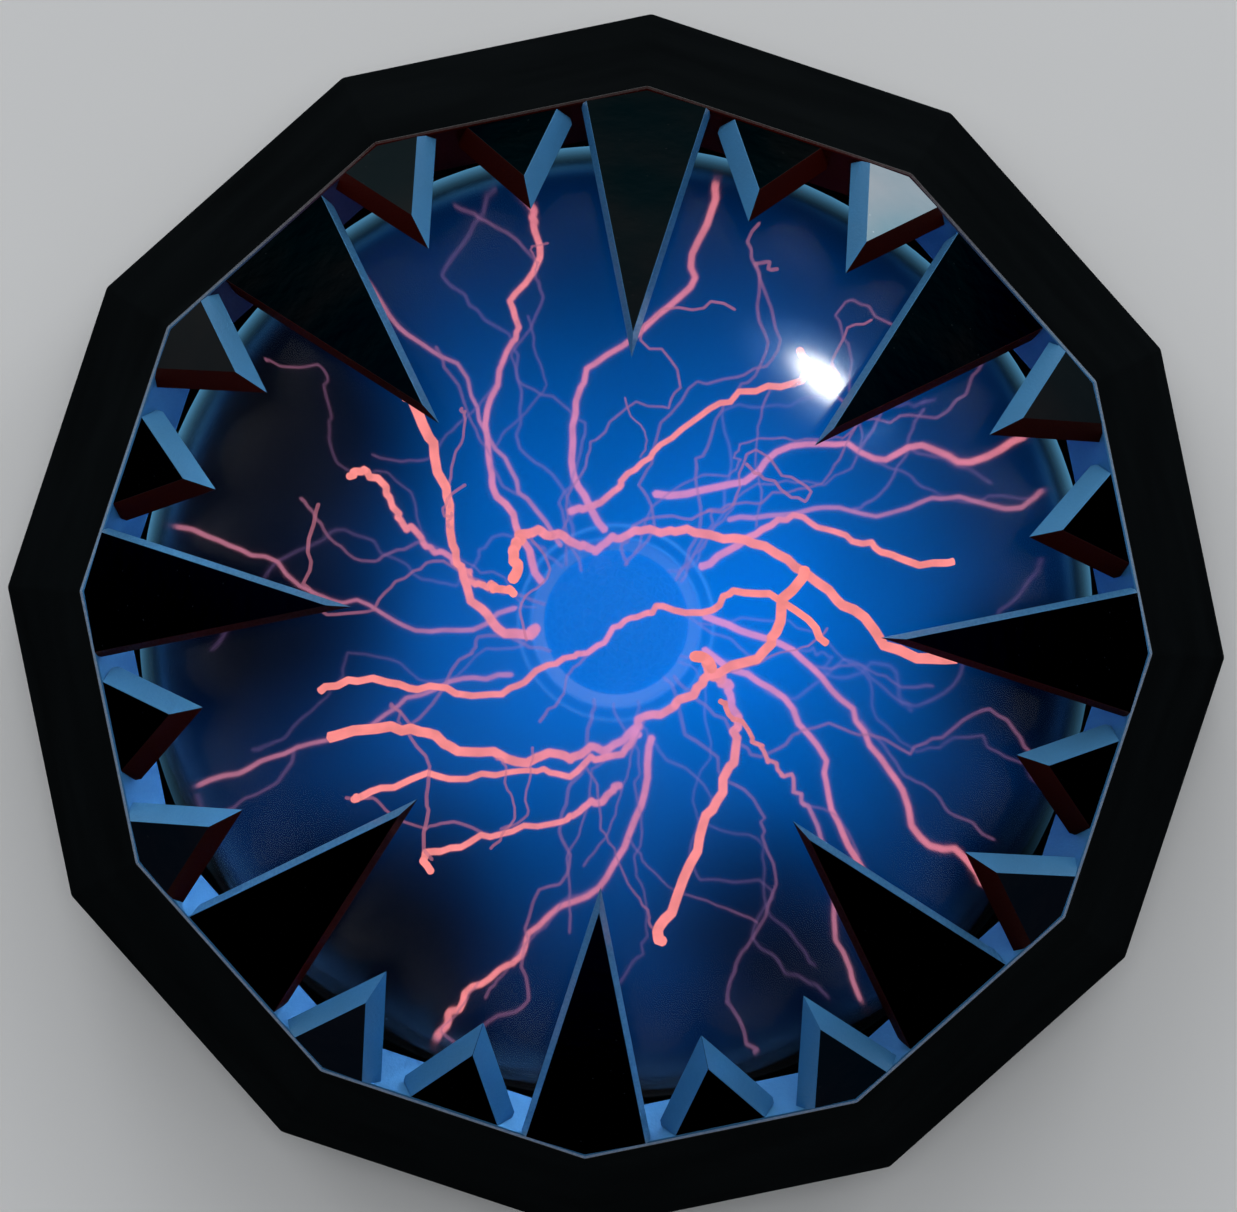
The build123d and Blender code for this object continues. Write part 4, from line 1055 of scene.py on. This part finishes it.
shade_bowl_build = bmesh.new()
neck_z = GLOBE_CENTRE.z - sqrt(GAS_RADIUS**2 - NECK_OPENING**2)
bowl(shade_bowl_build, GAS_RADIUS + SHADE_BOWL_GAP, neck_z, LEDGE_Z - SHADE_BOWL_BELOW_LEDGE, SHADE_BOWL_THICKNESS)
for name, build, material in (
    ("globe_shade_bowl", shade_bowl_build, SHADE_BOWL_BLACK),
    ("streamers_main", main_build, BRIGHT_SPARK),
    ("streamers_fine", fine_build, FINE_SPARK),
    ("streamers_faint", faint_build, FAINT_SPARK),
):
    piece_from(build, name, "housing", [material])


# ---- Floor, light and camera ----
def stage_material():
    """A pale, slightly cloudy floor."""

    def build(tree):
        clouds = grain(tree, place(tree), 3, 4, 0, 1)
        return {
            "Base Color": blend(tree, clouds, rgba((0.60, 0.61, 0.62)), rgba((0.64, 0.65, 0.66))),
            "Roughness": 0.75,
            "Specular IOR Level": 0.2,
        }

    return finish_of("floor_pale", build)


bpy.ops.mesh.primitive_plane_add(size=14, location=(0, 0, cad_low.z - 0.02 * MM))
floor = bpy.context.object
floor.name = "floor"
dress(floor, stage_material())


def lamp(name, place_at, target, width, height, radiance, soft, shows=True, colour=(1, 1, 1)):
    """A softbox aimed at a point, dimming towards its edge."""
    data = bpy.data.lights.new(name, "AREA")
    data.color = colour
    data.shape = "RECTANGLE"
    data.size = width
    data.size_y = height
    data.energy = radiance * pi * width * height
    data.use_nodes = True
    light = data.node_tree
    light.nodes.clear()
    spot = node(light, "NewGeometry").outputs["Parametric"]
    fade = spread(light, apart(light, spot, (0.5, 0.5, 0)), 0.5 - soft, 0.5, 1, 0, "SMOOTHSTEP")
    emission = node(light, "Emission", {"Strength": fade})
    light_output = light.nodes.new("ShaderNodeOutputLight")
    light.links.new(emission.outputs[0], light_output.inputs["Surface"])
    made = bpy.data.objects.new(name, data)
    made.location = place_at
    made.rotation_euler = (Vector(target) - Vector(place_at)).to_track_quat("-Z", "Y").to_euler()
    made.visible_camera = False
    made.visible_glossy = shows
    made.visible_transmission = shows
    bpy.context.scene.collection.objects.link(made)
    return made


def around(turn, distance, height):
    """A place at a turn from the view's right hand."""
    sideways = VIEW_RIGHT * cos(radians(turn)) + VIEW_UP * sin(radians(turn))
    return sideways * distance + Vector((0, 0, height))


def claw_at(turn):
    """The claw whose middle lies nearest to a turn from the view's right hand."""
    aim = around(turn, RIM_APOTHEM, RIM_Z)
    claws = [name for name in frame["nodes"] if "_claw_" in name]
    return min(claws, key=lambda name: (sum(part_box(name), Vector()) / 2 - aim).length)


def shown_only_in(made, piece):
    """Keeps a lamp's light to one piece that mirrors it."""
    made.visible_diffuse = False
    made.visible_transmission = False
    receivers = bpy.data.collections.new(made.name + "_receivers")
    receivers.objects.link(piece)
    made.light_linking.receiver_collection = receivers


GLINT_TURN = 56.7  # the one short claw that mirrors a light
GLINT_TINT = (0.94, 1, 1.1)
HALO_BLUE = (0.2, 0.55, 1)
aim = (0, 0, 0.15)
lamp("key_box", around(50, 0.72, 0.25), aim, 0.3, 0.34, 3.5, 0.5)
core = lamp("key_core", around(49.5, 0.71, 0.265), aim, 0.23, 0.15, 950, 0.4)
halo = lamp("key_halo", around(49.5, 0.715, 0.265), aim, 0.5, 0.38, 110, 0.5, colour=HALO_BLUE)
glint = lamp("claw_glint", around(GLINT_TURN, 0.5, 0.07), aim, 0.3, 0.3, 16, 0.1, colour=GLINT_TINT)
shown_only_in(core, frame["nodes"]["glass_globe"])
shown_only_in(halo, frame["nodes"]["glass_globe"])
shown_only_in(glint, bpy.data.objects[claw_at(GLINT_TURN) + "_finish"])
lamp("side_fill", around(105, 1.6, 1.0), (0, 0, RIM_Z), 1.2, 0.8, 1.6, 0.1, shows=False)

sun = bpy.data.lights.new("ceiling", "SUN")
sun.energy = 2.0
sun.angle = radians(60)
ceiling = bpy.data.objects.new("ceiling", sun)
overhead = VIEW_UP * 0.35 + Vector((0, 0, 1))
ceiling.rotation_euler = (-overhead).to_track_quat("-Z", "Y").to_euler()
ceiling.visible_glossy = False
ceiling.visible_transmission = False
bpy.context.scene.collection.objects.link(ceiling)

world = bpy.data.worlds.new("studio")
bpy.context.scene.world = world
world.use_nodes = True
sky = world.node_tree
sky.nodes.clear()
direction = node(sky, "SeparateXYZ", {0: node(sky, "TexCoord").outputs["Generated"]})
dome = spread(sky, direction.outputs["Z"], 0.0, 0.75, 0.5, 0.14, "SMOOTHSTEP")
background = node(sky, "Background", {"Color": rgba((0.94, 0.97, 1.0)), "Strength": dome})
world_output = sky.nodes.new("ShaderNodeOutputWorld")
sky.links.new(background.outputs[0], world_output.inputs["Surface"])

camera_data = bpy.data.cameras.new("camera")
camera_data.lens = CAMERA_LENS
camera_data.shift_x, camera_data.shift_y = CAMERA_SHIFT
camera = bpy.data.objects.new("camera", camera_data)
camera.location = (0, 0, CAMERA_Z)
camera.rotation_euler = (0, 0, -VIEW_TURN)
bpy.context.scene.collection.objects.link(camera)
bpy.context.scene.camera = camera
bpy.context.scene.view_settings.view_transform = "Standard"
bpy.context.scene.cycles.transparent_max_bounces = 32
